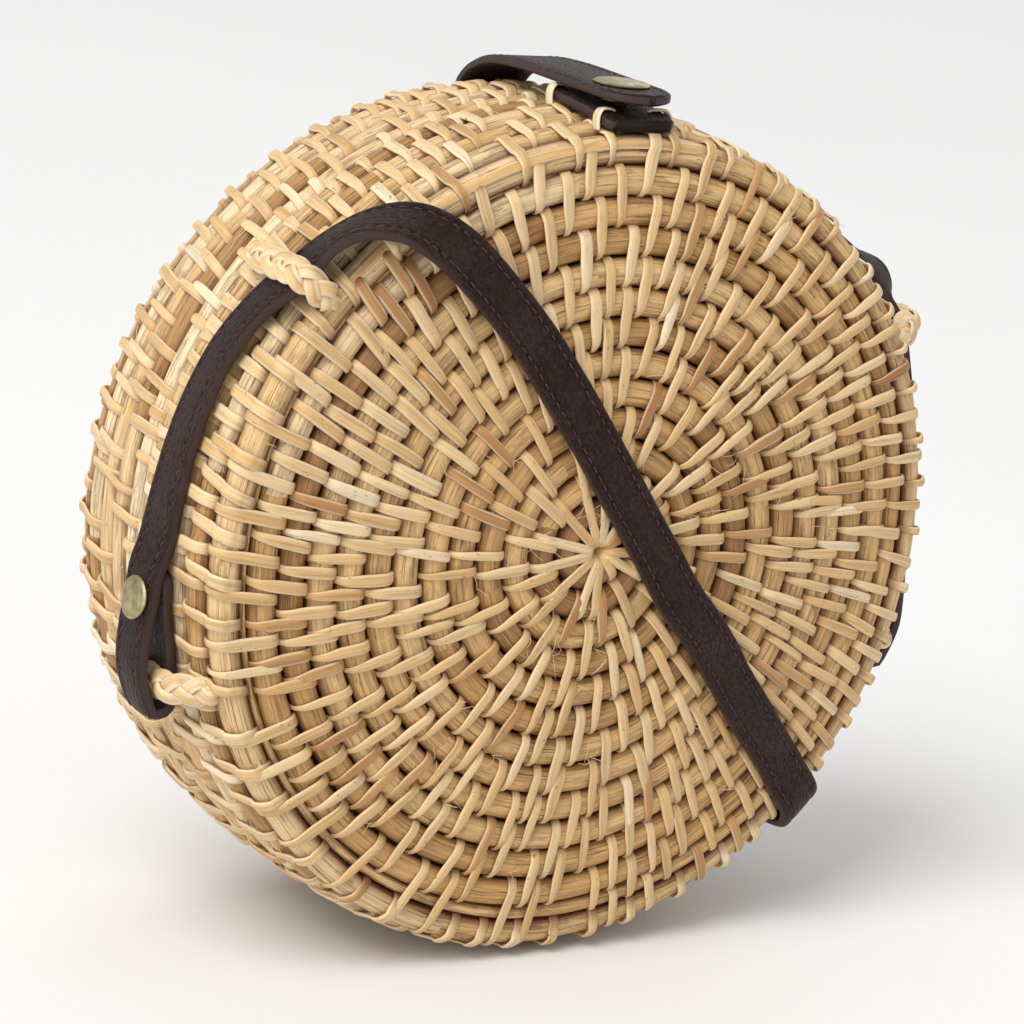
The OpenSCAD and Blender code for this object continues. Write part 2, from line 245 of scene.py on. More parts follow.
def grain_space(nt, along, across, seed=97.0):
    """The strip's own coordinates in mm, scaled along and across, and moved apart by its seed."""
    at = node(nt, "ShaderNodeAttribute", attribute_name="grain")
    v = node(nt, "ShaderNodeVectorMath", operation="MULTIPLY")
    v.inputs[1].default_value = (along, across, seed)
    nt.links.new(at.outputs["Vector"], v.inputs[0])
    return v.outputs[0]


def noise(nt, vec, scale, detail=3.0, rough=0.55):
    n = node(nt, "ShaderNodeTexNoise")
    n.inputs["Scale"].default_value = scale
    n.inputs["Detail"].default_value = detail
    n.inputs["Roughness"].default_value = rough
    nt.links.new(vec, n.inputs["Vector"])
    return n.outputs["Fac"]


def cane_like(name, tones, streak, streak_amount, blotch, blotch_at, rough, bump, fibre=2.6, painted_crevice_shade=(0.30, 0.17, 0.085), fine_at=(0.30, 0.46, 0.62), rim=False):
    """Cane or rattan: a colour for each strip, fibres along it, brown streaks and bark patches."""
    m, nt, bsdf = material(name)
    tone = node(nt, "ShaderNodeAttribute", attribute_name="tone").outputs["Fac"]
    base = ramp(nt, tones)
    nt.links.new(tone, base.inputs[0])
    fine = noise(nt, grain_space(nt, 0.055, fibre), 1.0, 4.0, 0.6)
    fr = ramp(nt, [(fine_at[0], 0.0), (fine_at[1], 0.62), (fine_at[2], 1.0)])
    nt.links.new(fine, fr.inputs[0])
    col = mix(nt, "MULTIPLY", streak_amount, base.outputs[0], mix(nt, "MIX", fr.outputs[0], streak, (1, 1, 1)))
    wide = noise(nt, grain_space(nt, 0.03, 0.9, 131.0), 1.0, 3.0, 0.6)
    wr = ramp(nt, [(0.34, 0.78), (0.52, 1.0), (0.7, 1.08)])
    nt.links.new(wide, wr.inputs[0])
    col = mix(nt, "MULTIPLY", 1.0, col, wr.outputs[0])
    patch = noise(nt, grain_space(nt, 0.085, 0.28, 173.0), 1.0, 4.0, 0.65)
    pr = ramp(nt, [(blotch_at, 0.0), (blotch_at + 0.06, 1.0)])
    nt.links.new(patch, pr.inputs[0])
    pat = math_node(nt, "MULTIPLY", pr.outputs[0], math_node(nt, "ADD", math_node(nt, "MULTIPLY", fr.outputs[0], -0.5), 0.85))
    col = mix(nt, "MIX", pat, col, blotch)
    if rim:
        sx = node(nt, "ShaderNodeSeparateXYZ")
        nt.links.new(node(nt, "ShaderNodeAttribute", attribute_name="grain").outputs["Vector"], sx.inputs[0])
        er = ramp(nt, [(0.66, 0.0), (0.95, 1.0)])
        nt.links.new(math_node(nt, "ABSOLUTE", sx.outputs[1]), er.inputs[0])
        col = mix(nt, "MIX", math_node(nt, "MULTIPLY", er.outputs[0], 0.45), col, (0.84, 0.70, 0.50))
    # dark specks, drawn out along the fibres
    spots = noise(nt, grain_space(nt, 0.55 if rim else 0.42, 1.3 if rim else 1.9, 211.0), 1.0, 3.0, 0.7)
    spr = ramp(nt, [(0.65, 0.0), (0.70, 1.0)])
    nt.links.new(spots, spr.inputs[0])
    col = mix(nt, "MIX", math_node(nt, "MULTIPLY", spr.outputs[0], 0.8), col, (0.28, 0.125, 0.042))
    # painted shade with a brown stain tint: the edge attribute darkens the colour in the gaps between rows, on the
    # rods' sides and undersides and where the strips dive in
    painted_shade = node(nt, "ShaderNodeAttribute", attribute_name="edge").outputs["Fac"]
    col = mix(nt, "MULTIPLY", painted_shade, col, painted_crevice_shade)
    nt.links.new(col, bsdf.inputs["Base Color"])
    rr = ramp(nt, [(0.3, rough + 0.14), (0.7, rough - 0.06)])
    nt.links.new(fine, rr.inputs[0])
    nt.links.new(rr.outputs[0], bsdf.inputs["Roughness"])
    bsdf.inputs["Specular IOR Level"].default_value = 0.42
    bp = node(nt, "ShaderNodeBump")
    bp.inputs["Strength"].default_value = 0.85
    bp.inputs["Distance"].default_value = bump / 1000
    h = math_node(nt, "ADD", fr.outputs[0], math_node(nt, "MULTIPLY", wide, 1.3))
    nt.links.new(h, bp.inputs["Height"])
    nt.links.new(bp.outputs[0], bsdf.inputs["Normal"])
    return m


# the crevice colour of each material is painted shade with a brown stain tint, for the gaps between rows
M_CORE = cane_like("rattan_core", [(0.0, (0.27, 0.11, 0.032)), (0.16, (0.44, 0.240, 0.082)), (0.45, (0.595, 0.343, 0.124)), (0.8, (0.705, 0.465, 0.206)), (1.0, (0.82, 0.66, 0.41))],
                   (0.25, 0.10, 0.030), 0.85, (0.17, 0.065, 0.022), 0.54, 0.50, 0.18, fibre=3.3, painted_crevice_shade=(0.20, 0.055, 0.010), fine_at=(0.30, 0.385, 0.47))
M_CANE = cane_like("split_cane", [(0.0, (0.38, 0.160, 0.052)), (0.10, (0.51, 0.275, 0.095)), (0.30, (0.63, 0.385, 0.152)), (0.65, (0.70, 0.475, 0.225)), (0.9, (0.76, 0.565, 0.315)), (1.0, (0.82, 0.66, 0.44))],
                   (0.60, 0.39, 0.21), 0.6, (0.25, 0.105, 0.038), 0.645, 0.38, 0.035, fibre=4.0, painted_crevice_shade=(0.20, 0.060, 0.012), fine_at=(0.28, 0.40, 0.52), rim=True)


def leather(name):
    m, nt, bsdf = material(name)
    edge = node(nt, "ShaderNodeAttribute", attribute_name="edge").outputs["Fac"]
    co = node(nt, "ShaderNodeTexCoord").outputs["Object"]
    big = noise(nt, co, 55.0, 3.0)
    cr = ramp(nt, [(0.3, (0.0165, 0.0082, 0.0074)), (0.5, (0.0235, 0.0118, 0.0105)), (0.72, (0.036, 0.020, 0.018))])
    nt.links.new(big, cr.inputs[0])
    vor = node(nt, "ShaderNodeTexVoronoi", feature="SMOOTH_F1")
    vor.inputs["Scale"].default_value = 1150.0
    wob = node(nt, "ShaderNodeVectorMath", operation="ADD")
    wn = node(nt, "ShaderNodeTexNoise")
    wn.inputs["Scale"].default_value = 900.0
    sc = node(nt, "ShaderNodeVectorMath", operation="SCALE")
    sc.inputs["Scale"].default_value = 0.0007
    nt.links.new(co, wn.inputs["Vector"])
    nt.links.new(wn.outputs["Color"], sc.inputs[0])
    nt.links.new(co, wob.inputs[0])
    nt.links.new(sc.outputs[0], wob.inputs[1])
    nt.links.new(wob.outputs[0], vor.inputs["Vector"])
    wrinkle = noise(nt, grain_space(nt, 0.22, 1.5), 1.0, 4.0, 0.6)
    wr = ramp(nt, [(0.36, 0.0), (0.52, 1.0)])
    nt.links.new(wrinkle, wr.inputs[0])
    flat = math_node(nt, "SUBTRACT", 1.0, edge)
    hgt = math_node(nt, "MULTIPLY", math_node(nt, "ADD", math_node(nt, "MULTIPLY", vor.outputs["Distance"], -1.0), math_node(nt, "MULTIPLY", wr.outputs[0], 0.7)), flat)
    crease = noise(nt, grain_space(nt, 0.16, 0.55, 61.0), 1.0, 3.0, 0.7)
    cw = ramp(nt, [(0.40, 1.0), (0.48, 0.0), (0.56, 0.9)])
    nt.links.new(crease, cw.inputs[0])
    hgt = math_node(nt, "ADD", hgt, math_node(nt, "MULTIPLY", math_node(nt, "MULTIPLY", cw.outputs[0], 0.75), flat))
    rough_edge = noise(nt, co, 2200.0, 2.0)
    hgt = math_node(nt, "ADD", hgt, math_node(nt, "MULTIPLY", math_node(nt, "MULTIPLY", rough_edge, edge), 0.2))
    col = mix(nt, "MIX", math_node(nt, "MULTIPLY", edge, 0.9), cr.outputs[0], (0.050, 0.031, 0.028))
    # painted shade: the colour darkens in the low parts of the wrinkles
    dark = ramp(nt, [(0.0, 0.62), (0.5, 1.0)])
    nt.links.new(wrinkle, dark.inputs[0])
    col = mix(nt, "MULTIPLY", 0.7, col, dark.outputs[0])
    # painted highlight and shade on the pebble grain: lighter on the bumps, darker in the grooves
    pebble_light_and_shade = ramp(nt, [(0.25, (1.35, 1.25, 1.2)), (0.62, (0.45, 0.42, 0.42))])
    nt.links.new(vor.outputs["Distance"], pebble_light_and_shade.inputs[0])
    col = mix(nt, "MULTIPLY", flat, col, pebble_light_and_shade.outputs[0])
    nt.links.new(col, bsdf.inputs["Base Color"])
    rr = ramp(nt, [(0.0, 0.36), (1.0, 0.56)])
    nt.links.new(wrinkle, rr.inputs[0])
    nt.links.new(rr.outputs[0], bsdf.inputs["Roughness"])
    bsdf.inputs["Specular IOR Level"].default_value = 0.26
    bsdf.inputs["Specular Tint"].default_value = (1.0, 0.86, 0.80, 1)
    bp = node(nt, "ShaderNodeBump")
    bp.inputs["Strength"].default_value = 1.0
    bp.inputs["Distance"].default_value = 0.00042
    nt.links.new(hgt, bp.inputs["Height"])
    nt.links.new(bp.outputs[0], bsdf.inputs["Normal"])
    return m


M_LEATHER = leather("dark_leather")


def thread():
    m, nt, bsdf = material("red_thread")
    g = noise(nt, grain_space(nt, 2.6, 3.4), 1.0, 2.0)
    r = ramp(nt, [(0.3, (0.035, 0.008, 0.009)), (0.7, (0.10, 0.019, 0.020))])
    nt.links.new(g, r.inputs[0])
    nt.links.new(r.outputs[0], bsdf.inputs["Base Color"])
    bsdf.inputs["Roughness"].default_value = 0.6
    bp = node(nt, "ShaderNodeBump")
    bp.inputs["Distance"].default_value = 0.00008
    nt.links.new(g, bp.inputs["Height"])
    nt.links.new(bp.outputs[0], bsdf.inputs["Normal"])
    return m


def brass():
    m, nt, bsdf = material("old_brass")
    co = node(nt, "ShaderNodeTexCoord").outputs["Object"]
    a = noise(nt, co, 420.0, 4.0, 0.6)
    r = ramp(nt, [(0.3, (0.225, 0.185, 0.085)), (0.55, (0.40, 0.345, 0.185)), (0.75, (0.50, 0.445, 0.27))])
    nt.links.new(a, r.inputs[0])
    nt.links.new(r.outputs[0], bsdf.inputs["Base Color"])
    rr = ramp(nt, [(0.35, 0.46), (0.7, 0.28)])
    nt.links.new(noise(nt, co, 900.0, 3.0), rr.inputs[0])
    nt.links.new(rr.outputs[0], bsdf.inputs["Roughness"])
    bsdf.inputs["Metallic"].default_value = 0.92
    bp = node(nt, "ShaderNodeBump")
    bp.inputs["Strength"].default_value = 0.35
    bp.inputs["Distance"].default_value = 0.00006
    nt.links.new(noise(nt, co, 1500.0, 3.0), bp.inputs["Height"])
    nt.links.new(bp.outputs[0], bsdf.inputs["Normal"])
    return m


def cloth():
    m, nt, bsdf = material("lining_cloth")
    co = node(nt, "ShaderNodeTexCoord").outputs["Object"]
    weave = None
    for axis in ("X", "Z"):
        w = node(nt, "ShaderNodeTexWave", wave_type="BANDS", bands_direction=axis)
        w.inputs["Scale"].default_value = 420.0
        w.inputs["Distortion"].default_value = 1.2
        w.inputs["Detail Scale"].default_value = 3.0
        nt.links.new(co, w.inputs["Vector"])
        weave = w.outputs["Fac"] if weave is None else math_node(nt, "MAXIMUM", weave, w.outputs["Fac"])
    c1 = ramp(nt, [(0.2, (0.20, 0.135, 0.085)), (0.8, (0.36, 0.255, 0.165))])
    nt.links.new(math_node(nt, "ADD", math_node(nt, "MULTIPLY", weave, 0.6), math_node(nt, "MULTIPLY", noise(nt, co, 35.0), 0.4)), c1.inputs[0])
    nt.links.new(c1.outputs[0], bsdf.inputs["Base Color"])
    bsdf.inputs["Roughness"].default_value = 0.9
    bsdf.inputs["Sheen Weight"].default_value = 0.25
    bp = node(nt, "ShaderNodeBump")
    bp.inputs["Strength"].default_value = 0.6
    bp.inputs["Distance"].default_value = 0.00015
    nt.links.new(weave, bp.inputs["Height"])
    nt.links.new(bp.outputs[0], bsdf.inputs["Normal"])
    return m


M_THREAD, M_BRASS, M_CLOTH = thread(), brass(), cloth()


# ------------------------------------------------------------------- weave
PITCH = 7.02


def dome(r):
    return 35 + 4.6 * (1 - (np.minimum(r, 91) / 91.0) ** 2)


def wall(h):
    return 97 + 3 * (1 - (h / 35.0) ** 2)


def place(c, r, h):
    """Bag coordinates in mm. c is the clock angle in degrees. The face's spiral is a little off centre."""
    c, r, h = np.broadcast_arrays(np.asarray(c, float), np.asarray(r, float), np.asarray(h, float))
    off = np.clip(1 - r / 93.0, 0, 1) * np.clip((h - 20) / 10, 0, 1)
    return np.stack([r * np.sin(c * D2R) - 0.89 * off, -h, CZ + r * np.cos(c * D2R) + 1.45 * off], -1)


def turn(c, vr, vh):
    """A direction in the (radius, h) plane at clock angle c, as a vector."""
    c = np.asarray(c, float)
    return np.stack([vr * np.sin(c * D2R), -vh * np.ones_like(c), vr * np.cos(c * D2R)], -1)


WALL_ROWS = {14: 24.1, 15: 17.1, 16: 10.15}
EDGE_R, EDGE_H, EDGE_A = 93.3, 30.7, 50.0


def mouth_major(c):
    """The mouth's core stands a little further out at the top than over the hinge."""
    low = 0.5 - 0.5 * np.cos(np.asarray(c, float) * D2R)
    return 96.3 - 1.4 * np.clip((low - 0.55) / 0.4, 0, 1)


def row(theta, kind_last=None):
    """Row under spiral angle theta: centre (r, h), outward normal, half width b, half height a."""
    m = int(theta // (2 * math.pi))
    u = theta / (2 * math.pi) - m
    if m <= 12:
        r = PITCH * (0.333 + theta / (2 * math.pi))
        a, b, drop = 2.95, 3.36, 0.0
        if m == 12:
            r11 = PITCH * (11.333 + u)
            gap = EDGE_R - r11
            r = (r11 + EDGE_R) / 2
            b = max(0.75, (gap - 6.7) / 2)
            a = min(2.95, b + 0.9)
            drop = 0.75 * (2.95 - a)
        h = float(dome(r)) - 3.55 - drop * 0.9
        s = 2 * 4.6 * r / 91.0 ** 2
        n = np.array([s, 1.0]) / math.hypot(s, 1)
        return np.array([r, h]), n, a, b
    if m == 13:
        n = np.array([math.cos(EDGE_A * D2R), math.sin(EDGE_A * D2R)])
        return np.array([EDGE_R, EDGE_H]), n, 2.9, 3.5
    if m <= 16:
        h = WALL_ROWS[m]
        return np.array([float(wall(h)) - 3.45, h]), np.array([0.995, 0.10]), 3.2, 3.22
    c = 360 * u - 8
    return np.array([float(mouth_major(c)), 3.3]), np.array([1.0, 0.0]), 3.1, 3.1


def flat_shown(c):
    """1 where the flat cane lies open on the edge, 0 where the strips cover it."""
    c = (np.asarray(c, float) + 180) % 360 - 180
    return np.clip((c + 56) / 6, 0, 1) * np.clip((14 - c) / 6, 0, 1)


def around(rw, phi, lift):
    C, n, a, b = rw
    t = np.array([n[1], -n[0]])
    p = phi * D2R
    return C + (b + lift) * math.sin(p) * t + (a + lift) * math.cos(p) * n


def spacing(r):
    return float(np.interp(r, [10.5, 17.5, 24.5, 31.5, 38.5, 45.5, 52.5, 59.5, 66.5, 73.5, 80.5, 87.5, 93.6, 100],
                           [5.5, 7.9, 9.2, 9.3, 9.2, 8.9, 8.7, 8.5, 9.1, 10.0, 11.0, 12.0, 12.9, 13.4]))


def cane_path(c0, pts, shift, rng, steps=3, bend=1.15):
    """A strip over the rows: pts are in the (r, h) plane; it moves shift mm clockwise on its way out."""
    pts = np.array(pts, float)
    q = catmull(pts, steps)
    s = np.concatenate([[0], np.cumsum(np.linalg.norm(np.diff(q, axis=0), axis=1))])
    t = s / s[-1]
    d = unit(np.gradient(q, axis=0))
    nr, nh = -d[:, 1], d[:, 0]
    c = c0 + shift * t ** bend / np.maximum(q[:, 0], 6) / D2R
    return place(c, q[:, 0], q[:, 1]), turn(c, nr, nh), t


def tone_of(rng, orange=0.10):
    return float(rng.uniform(0.0, 0.14)) if rng.random() < orange else float(np.clip(rng.normal(0.62, 0.17), 0.25, 1))


def weave_half(seed):
    rng = np.random.default_rng(seed)
    cores, canes, edging = Soup(), Soup(), Soup()

    # the spiral core, a stretch at a time, because a core is pieced from lengths of rattan
    th0, th1 = 0.22 * 2 * math.pi, 13 * 2 * math.pi - 0.05
    cuts = [th0]
    while cuts[-1] < th1:
        cuts.append(min(th1, cuts[-1] + rng.uniform(60, 150) / max(7, PITCH * (0.333 + cuts[-1] / 6.283))))
    ths = np.arange(th0, th1, 0.02)
    wob = np.interp(ths, np.arange(240) * 0.35, rng.normal(0, 0.13, 240))
    fat = np.interp(ths, np.arange(280) * 0.3, rng.normal(0, 0.10, 280))
    for k in range(len(cuts) - 1):
        a0, a1 = cuts[k] - 0.25 / (1 + k * 0.3), cuts[k + 1] + 0.25 / (1 + k * 0.3)
        a0, a1 = max(a0, th0), min(a1, th1)
        r_mid = PITCH * (0.333 + (a0 + a1) / 2 / (2 * math.pi))
        n = max(6, int((a1 - a0) * r_mid / 2.3))
        th = np.linspace(a0, a1, n)
        rws = [row(t) for t in th]
        C = np.array([x[0] for x in rws])
        N = np.array([x[1] for x in rws])
        A = np.array([x[2] for x in rws]) + np.interp(th, ths, fat) * 0.7
        B = np.array([x[3] for x in rws]) + np.interp(th, ths, fat) * 0.5
        B = np.maximum(B, 0.2)
        c = np.degrees(th) - 8
        r = C[:, 0] + np.interp(th, ths, wob)
        # lengths meet by sliding under one another
        e = np.minimum(np.linspace(0, 1, n), np.linspace(1, 0, n)) * n * 2.3
        sink = 0.75 * np.exp(-e / 2.5)
        A = A - 0.4 * sink
        p = place(c, r, C[:, 1] - sink)
        grow = np.clip((th - th0) / 1.2 + 0.45, 0, 1)
        tone = float(np.clip(rng.normal(0.52, 0.17), 0.1, 1)) if rng.random() > 0.04 else 0.08
        tube(cores, p, turn(c, N[:, 0], N[:, 1]), B * grow, A * grow, float(rng.random()), tone, power=0.94, shade=True)
    # rings: the edge, the wall rows and the mouth's core
    for m in (13, 14, 15, 16, 17):
        c0 = float(rng.uniform(0, 360))
        pieces = int(rng.integers(7, 11))
        ends = c0 + np.cumsum(np.concatenate([[0], rng.dirichlet(np.ones(pieces) * 6) * 360]))
        for k in range(pieces):
            a0, a1 = ends[k] - 2.0, ends[k + 1] + 2.0
            n = int((a1 - a0) * 1.66 / 2.2)
            c = np.linspace(a0, a1, n)
            rws = [row((m + ((x + 8) % 360) / 360) * 2 * math.pi) for x in c]
            C = np.array([x[0] for x in rws])
            N = np.array([x[1] for x in rws])
            e = np.minimum(np.linspace(0, 1, n), np.linspace(1, 0, n)) * n * 2.2
            sink = 0.3 * np.exp(-e / 2.2)
            w = 0.10 * np.sin(c * 0.21 + m) + 0.07 * np.sin(c * 0.53 + 2 * m)
            p = place(c, C[:, 0] + (w - sink) * N[:, 0], C[:, 1] + (w - sink) * N[:, 1])
            # the edge, wall and mouth rings get paler tones than the face's spiral: painted light, for the paler look
            # of the brightly lit wall
            tone = float(np.clip(rng.normal(0.84, 0.09), 0.5, 1)) if rng.random() > 0.16 else float(rng.uniform(0.12, 0.36))
            tube(cores, p, turn(c, N[:, 0], N[:, 1]), rws[0][3], rws[0][2], float(rng.random()), tone, power=0.96, shade=True)
    # flat cane laid along the edge
    for k in range(4):
        a0, a1 = k * 90 + 20 - 2, k * 90 + 110 + 2
        n = 110
        c = np.linspace(a0, a1, n)
        e = np.minimum(np.linspace(0, 1, n), np.linspace(1, 0, n)) * n
        sink = 0.5 * np.exp(-e / 2.0)
        shown = flat_shown(c)
        t2 = 20 + (EDGE_A - 14) * shown + 1.2 * np.sin(c * 0.11)
        rr = 2.35 + 0.88 * shown
        p = place(c, EDGE_R + (rr - sink) * np.cos(t2 * D2R), EDGE_H + (rr - sink) * np.sin(t2 * D2R))
        strip(edging, p, turn(c, np.cos(t2 * D2R), np.sin(t2 * D2R)), 2.3, 0.7, float(rng.random()), float(rng.uniform(0.3, 0.5)))

    # strips: each covers two rows, and the next row's strip comes up beside it
    def lay(theta, star=False):
        m = int(theta // (2 * math.pi))
        u = theta / (2 * math.pi) - m
        c0 = 360 * u - 8
        first = row(theta)
        if m == 12 and u > 0.5:
            return 0.5
        second_theta = theta + 2 * math.pi
        if m == 11 and u > 0.5:
            second_theta += 2 * math.pi
        m2 = int(second_theta // (2 * math.pi))
        w = float(np.clip(rng.normal(2.45, 0.2), 1.9, 3.0)) + (0.45 * max(0.0, math.cos((c0 - 305) * D2R)) if first[0][0] > 45 else 0.0)
        th = float(rng.uniform(0.72, 0.92))
        l1 = th / 2 + float(rng.uniform(-0.05, 0.12))
        if m == 17:
            # binds the mouth's core alone
            pts = [around(first, f, l1) for f in (-100, -70, -35, 0, 35, 70, 105, 140)]
        else:
            second = row(second_theta)
            over_edge = m == 13
            covered = float(flat_shown(c0)) > 0.5
            passes = m < 13 and m2 == 13 and covered and int(theta * 37.7) % 2 == 0
            pts = [around(first, -122, l1 - 0.45), around(first, -92, l1), around(first, -62, l1), around(first, -34, l1)]
            if m < 13 and m2 <= 13:
                pts.append(around(first, -8, l1))
                far = around(second, -50 if m2 == 13 else 8, l1)
                near = around(first, 8, l1)
                pts += [near * 0.62 + far * 0.38 + [0, 0.12], near * 0.3 + far * 0.7 + [0, 0.12]]
                if passes:
                    pts += [around(second, -40, l1 + 0.1), around(second, -16, l1 + 0.72), around(second, 10, l1 + 0.75), around(second, 34, l1 + 0.6),
                            around(second, 60, l1 + 0.15), around(second, 90, l1), around(second, 118, l1 - 0.5)]
                elif m2 == 13 and not covered:
                    pts += [around(second, f, l1) for f in (-32, -10, 14, 38, 62, 88)] + [around(second, 118, l1 - 0.5)]
                elif m2 == 13:
                    pts += [around(second, -34, l1 - 0.05), around(second, -12, l1 - 0.25), around(second, 5, l1 - 0.55)]
                else:
                    pts += [around(second, 12, l1), around(second, 38, l1), around(second, 66, l1), around(second, 95, l1 - 0.1), around(second, 124, l1 - 0.5)]
            elif over_edge:
                pts += [around(first, f, l1 + 0.75) for f in (-14, 10, 34)]
                pts += [around(first, 54, l1 + 0.45), around(second, -22, l1 + 0.1), around(second, 8, l1), around(second, 38, l1), around(second, 66, l1), around(second, 95, l1 - 0.1), around(second, 124, l1 - 0.5)]
            else:
                near, far = around(first, 8, l1), around(second, -8, l1)
                pts += [around(first, -8, l1), near * 0.7 + far * 0.3 + [0.1, 0], near * 0.3 + far * 0.7 + [0.1, 0], around(second, 10, l1), around(second, 38, l1)]
                pts += [around(second, 66, l1), around(second, 95, l1 - 0.1), around(second, 124, l1 - 0.5)]
        slant = 0.10 + 0.17 * float(np.clip((first[0][0] - 60) / 30, 0, 1)) * (0.55 - 0.45 * math.cos((c0 + 15) * 2 * D2R)) + float(rng.normal(0, 0.06))
        if m > 13:
            slant = 0.16 + float(rng.normal(0, 0.06))
        length = 17.0 if m < 17 else 8
        p, up, t = cane_path(c0, pts, slant * length, rng, bend=1.0)
        cc = math.cos((c0 - 25) * D2R)
        inner_tip = float(np.clip(0.1 + 1.2 * cc, 0, 1))
        outer_tip = float(np.clip(0.1 - 1.2 * cc, 0, 1))
        k1 = np.clip((0.46 - t) / 0.30, 0, 1)
        k2 = np.clip((t - 0.52) / 0.30, 0, 1)
        taper = 1 - 0.55 * inner_tip * k1 ** 1.3 - 0.55 * outer_tip * k2 ** 1.3
        if m2 == 13 and m < 13 and covered and not passes:
            taper = 1 - 0.45 * inner_tip * k1
        side = unit(np.cross(tangents(p), up))
        bow = 0.55 * cc + float(rng.normal(0, 0.2))
        p = p - side * (bow * (np.sin(math.pi * np.clip(t, 0, 1)) - 0.6))[:, None]
        q = np.linspace(0, 1, len(p))
        # painted shade at both ends of the strip, where it dives into the gaps between rows
        painted_shade = np.clip((0.20 - t) / 0.14, 0, 1) + np.clip((t - 0.84) / 0.12, 0, 1)
        # the wall's strips and the edge's strips get paler tones: painted light, for the paler look of the brightly lit
        # wall
        strip(canes, p, up, w * taper, th * (0.75 + 0.25 * taper), float(rng.random()), min(1.0, tone_of(rng) + (0.13 if m > 13 else 0.05 if m == 13 else 0.0)), painted_dive_shade=np.clip(painted_shade, 0, 1))
        return slant * length * 0.47

    # the star over the first rows
    for k in range(13):
        c0 = 360 * k / 13 + float(rng.normal(0, 4))
        u = ((c0 + 8) % 360) / 360
        last = 1 if rng.random() < 0.72 else 0
        th = 0.8
        pts = [np.array([0.9, dome(0) - 5.5]), np.array([1.2, dome(0) - 2.6]), np.array([2.6, dome(0) - 0.55])]
        for mm in range(0, last + 1):
            rw = row((mm + u) * 2 * math.pi)
            for f in ((-20, 20) if mm < last else (-24, 6, 36, 68, 98, 122)):
                q = around(rw, f, 0.42)
                if q[0] > pts[-1][0] + 0.8 or f > 60:
                    pts.append(q)
        p, up, t = cane_path(c0, pts, float(rng.uniform(0.8, 3.0)), rng, bend=1.4)
        wd = np.clip(0.42 + t * 1.9, 0, 1) * 2.3 * (1 - 0.35 * np.clip((t - 0.8) / 0.2, 0, 1))
        strip(canes, p, up, wd, 0.8, float(rng.random()), tone_of(rng, 0.05))

    heap = [2 * math.pi * (1 + k / 13) + 0.15 + float(rng.normal(0, 0.03)) for k in range(13)]
    heapq.heapify(heap)
    prev = 0.0
    last_laid = 2 * math.pi * 0.95
    while heap:
        theta = heapq.heappop(heap)
        if theta >= 18 * 2 * math.pi:
            continue
        m = int(theta // (2 * math.pi))
        r = row(theta)[0][0] if m < 13 else 95.0
        sp = spacing(r)
        gap = (theta - last_laid) * r
        if gap > 1.5 * sp and m < 14:
            mid = (theta + last_laid) / 2 + float(rng.normal(0, 0.5)) / r
            heapq.heappush(heap, theta)
            heapq.heappush(heap, mid)
            continue
        if gap < 0.55 * sp and m > 1:
            continue
        shifted = lay(theta)
        last_laid = theta
        nxt_r = row(theta + 2 * math.pi)[0][0] if m < 12 else 95.0
        heapq.heappush(heap, theta + 2 * math.pi + (shifted + 0.43 * spacing(nxt_r if m < 12 else 95.0) + float(rng.normal(0, 0.5))) / nxt_r)
    # stray fibres
    for k in range(110):
        r0, c0 = float(rng.uniform(10, 92)), float(rng.uniform(0, 360))
        for j in range(int(rng.integers(1, 4))):
            wallward = k % 4 == 0
            h0 = float(rng.uniform(6, 28)) if wallward else float(dome(r0)) - 0.4
            rr = float(wall(h0)) - 0.3 if wallward else r0
            q = place(c0 + rng.normal(0, 1.0), rr, h0)
            e = turn(c0, 1.0, 0.0) if wallward else np.array([0, -1.0, 0])
            a1 = turn(c0, 0.0, 1.0) if wallward else turn(c0, 1.0, 0.0)
            a2 = np.cross(e, a1)
            g = float(rng.uniform(0, 2 * math.pi))
            d1 = a1 * math.cos(g) + a2 * math.sin(g)
            d2 = a2 * math.cos(g) - a1 * math.sin(g)
            ln, bend = float(rng.uniform(2.0, 5.5)), float(rng.normal(0, 0.9))
            ts = np.linspace(0, 1, 6)[:, None]
            p = q + d1 * ts * ln + d2 * bend * ts ** 2 + e * (np.sin(ts * 2.4) * rng.uniform(0.4, 1.1) - 0.2)
            tube(canes, p, np.tile(e, (6, 1)), 0.07, 0.07, 0.4, 0.9, m=4)
    return cores, canes, edging


for side, seed, spin, body in (("front", 11, False, "body"), ("back", 29, True, "lid")):
    cores, canes, edging = weave_half(seed)
    cores.build(side + "_coils", M_CORE, "rattan", body, (side + "_face", side + "_wall", side + "_mouth_coil"), spin, True)
    canes.build(side + "_stitches", M_CANE, "cane", body, (), spin, True)
    edging.build(side + "_edge_cane", M_CANE, "cane", body, (side + "_corner_strip",), spin, True)


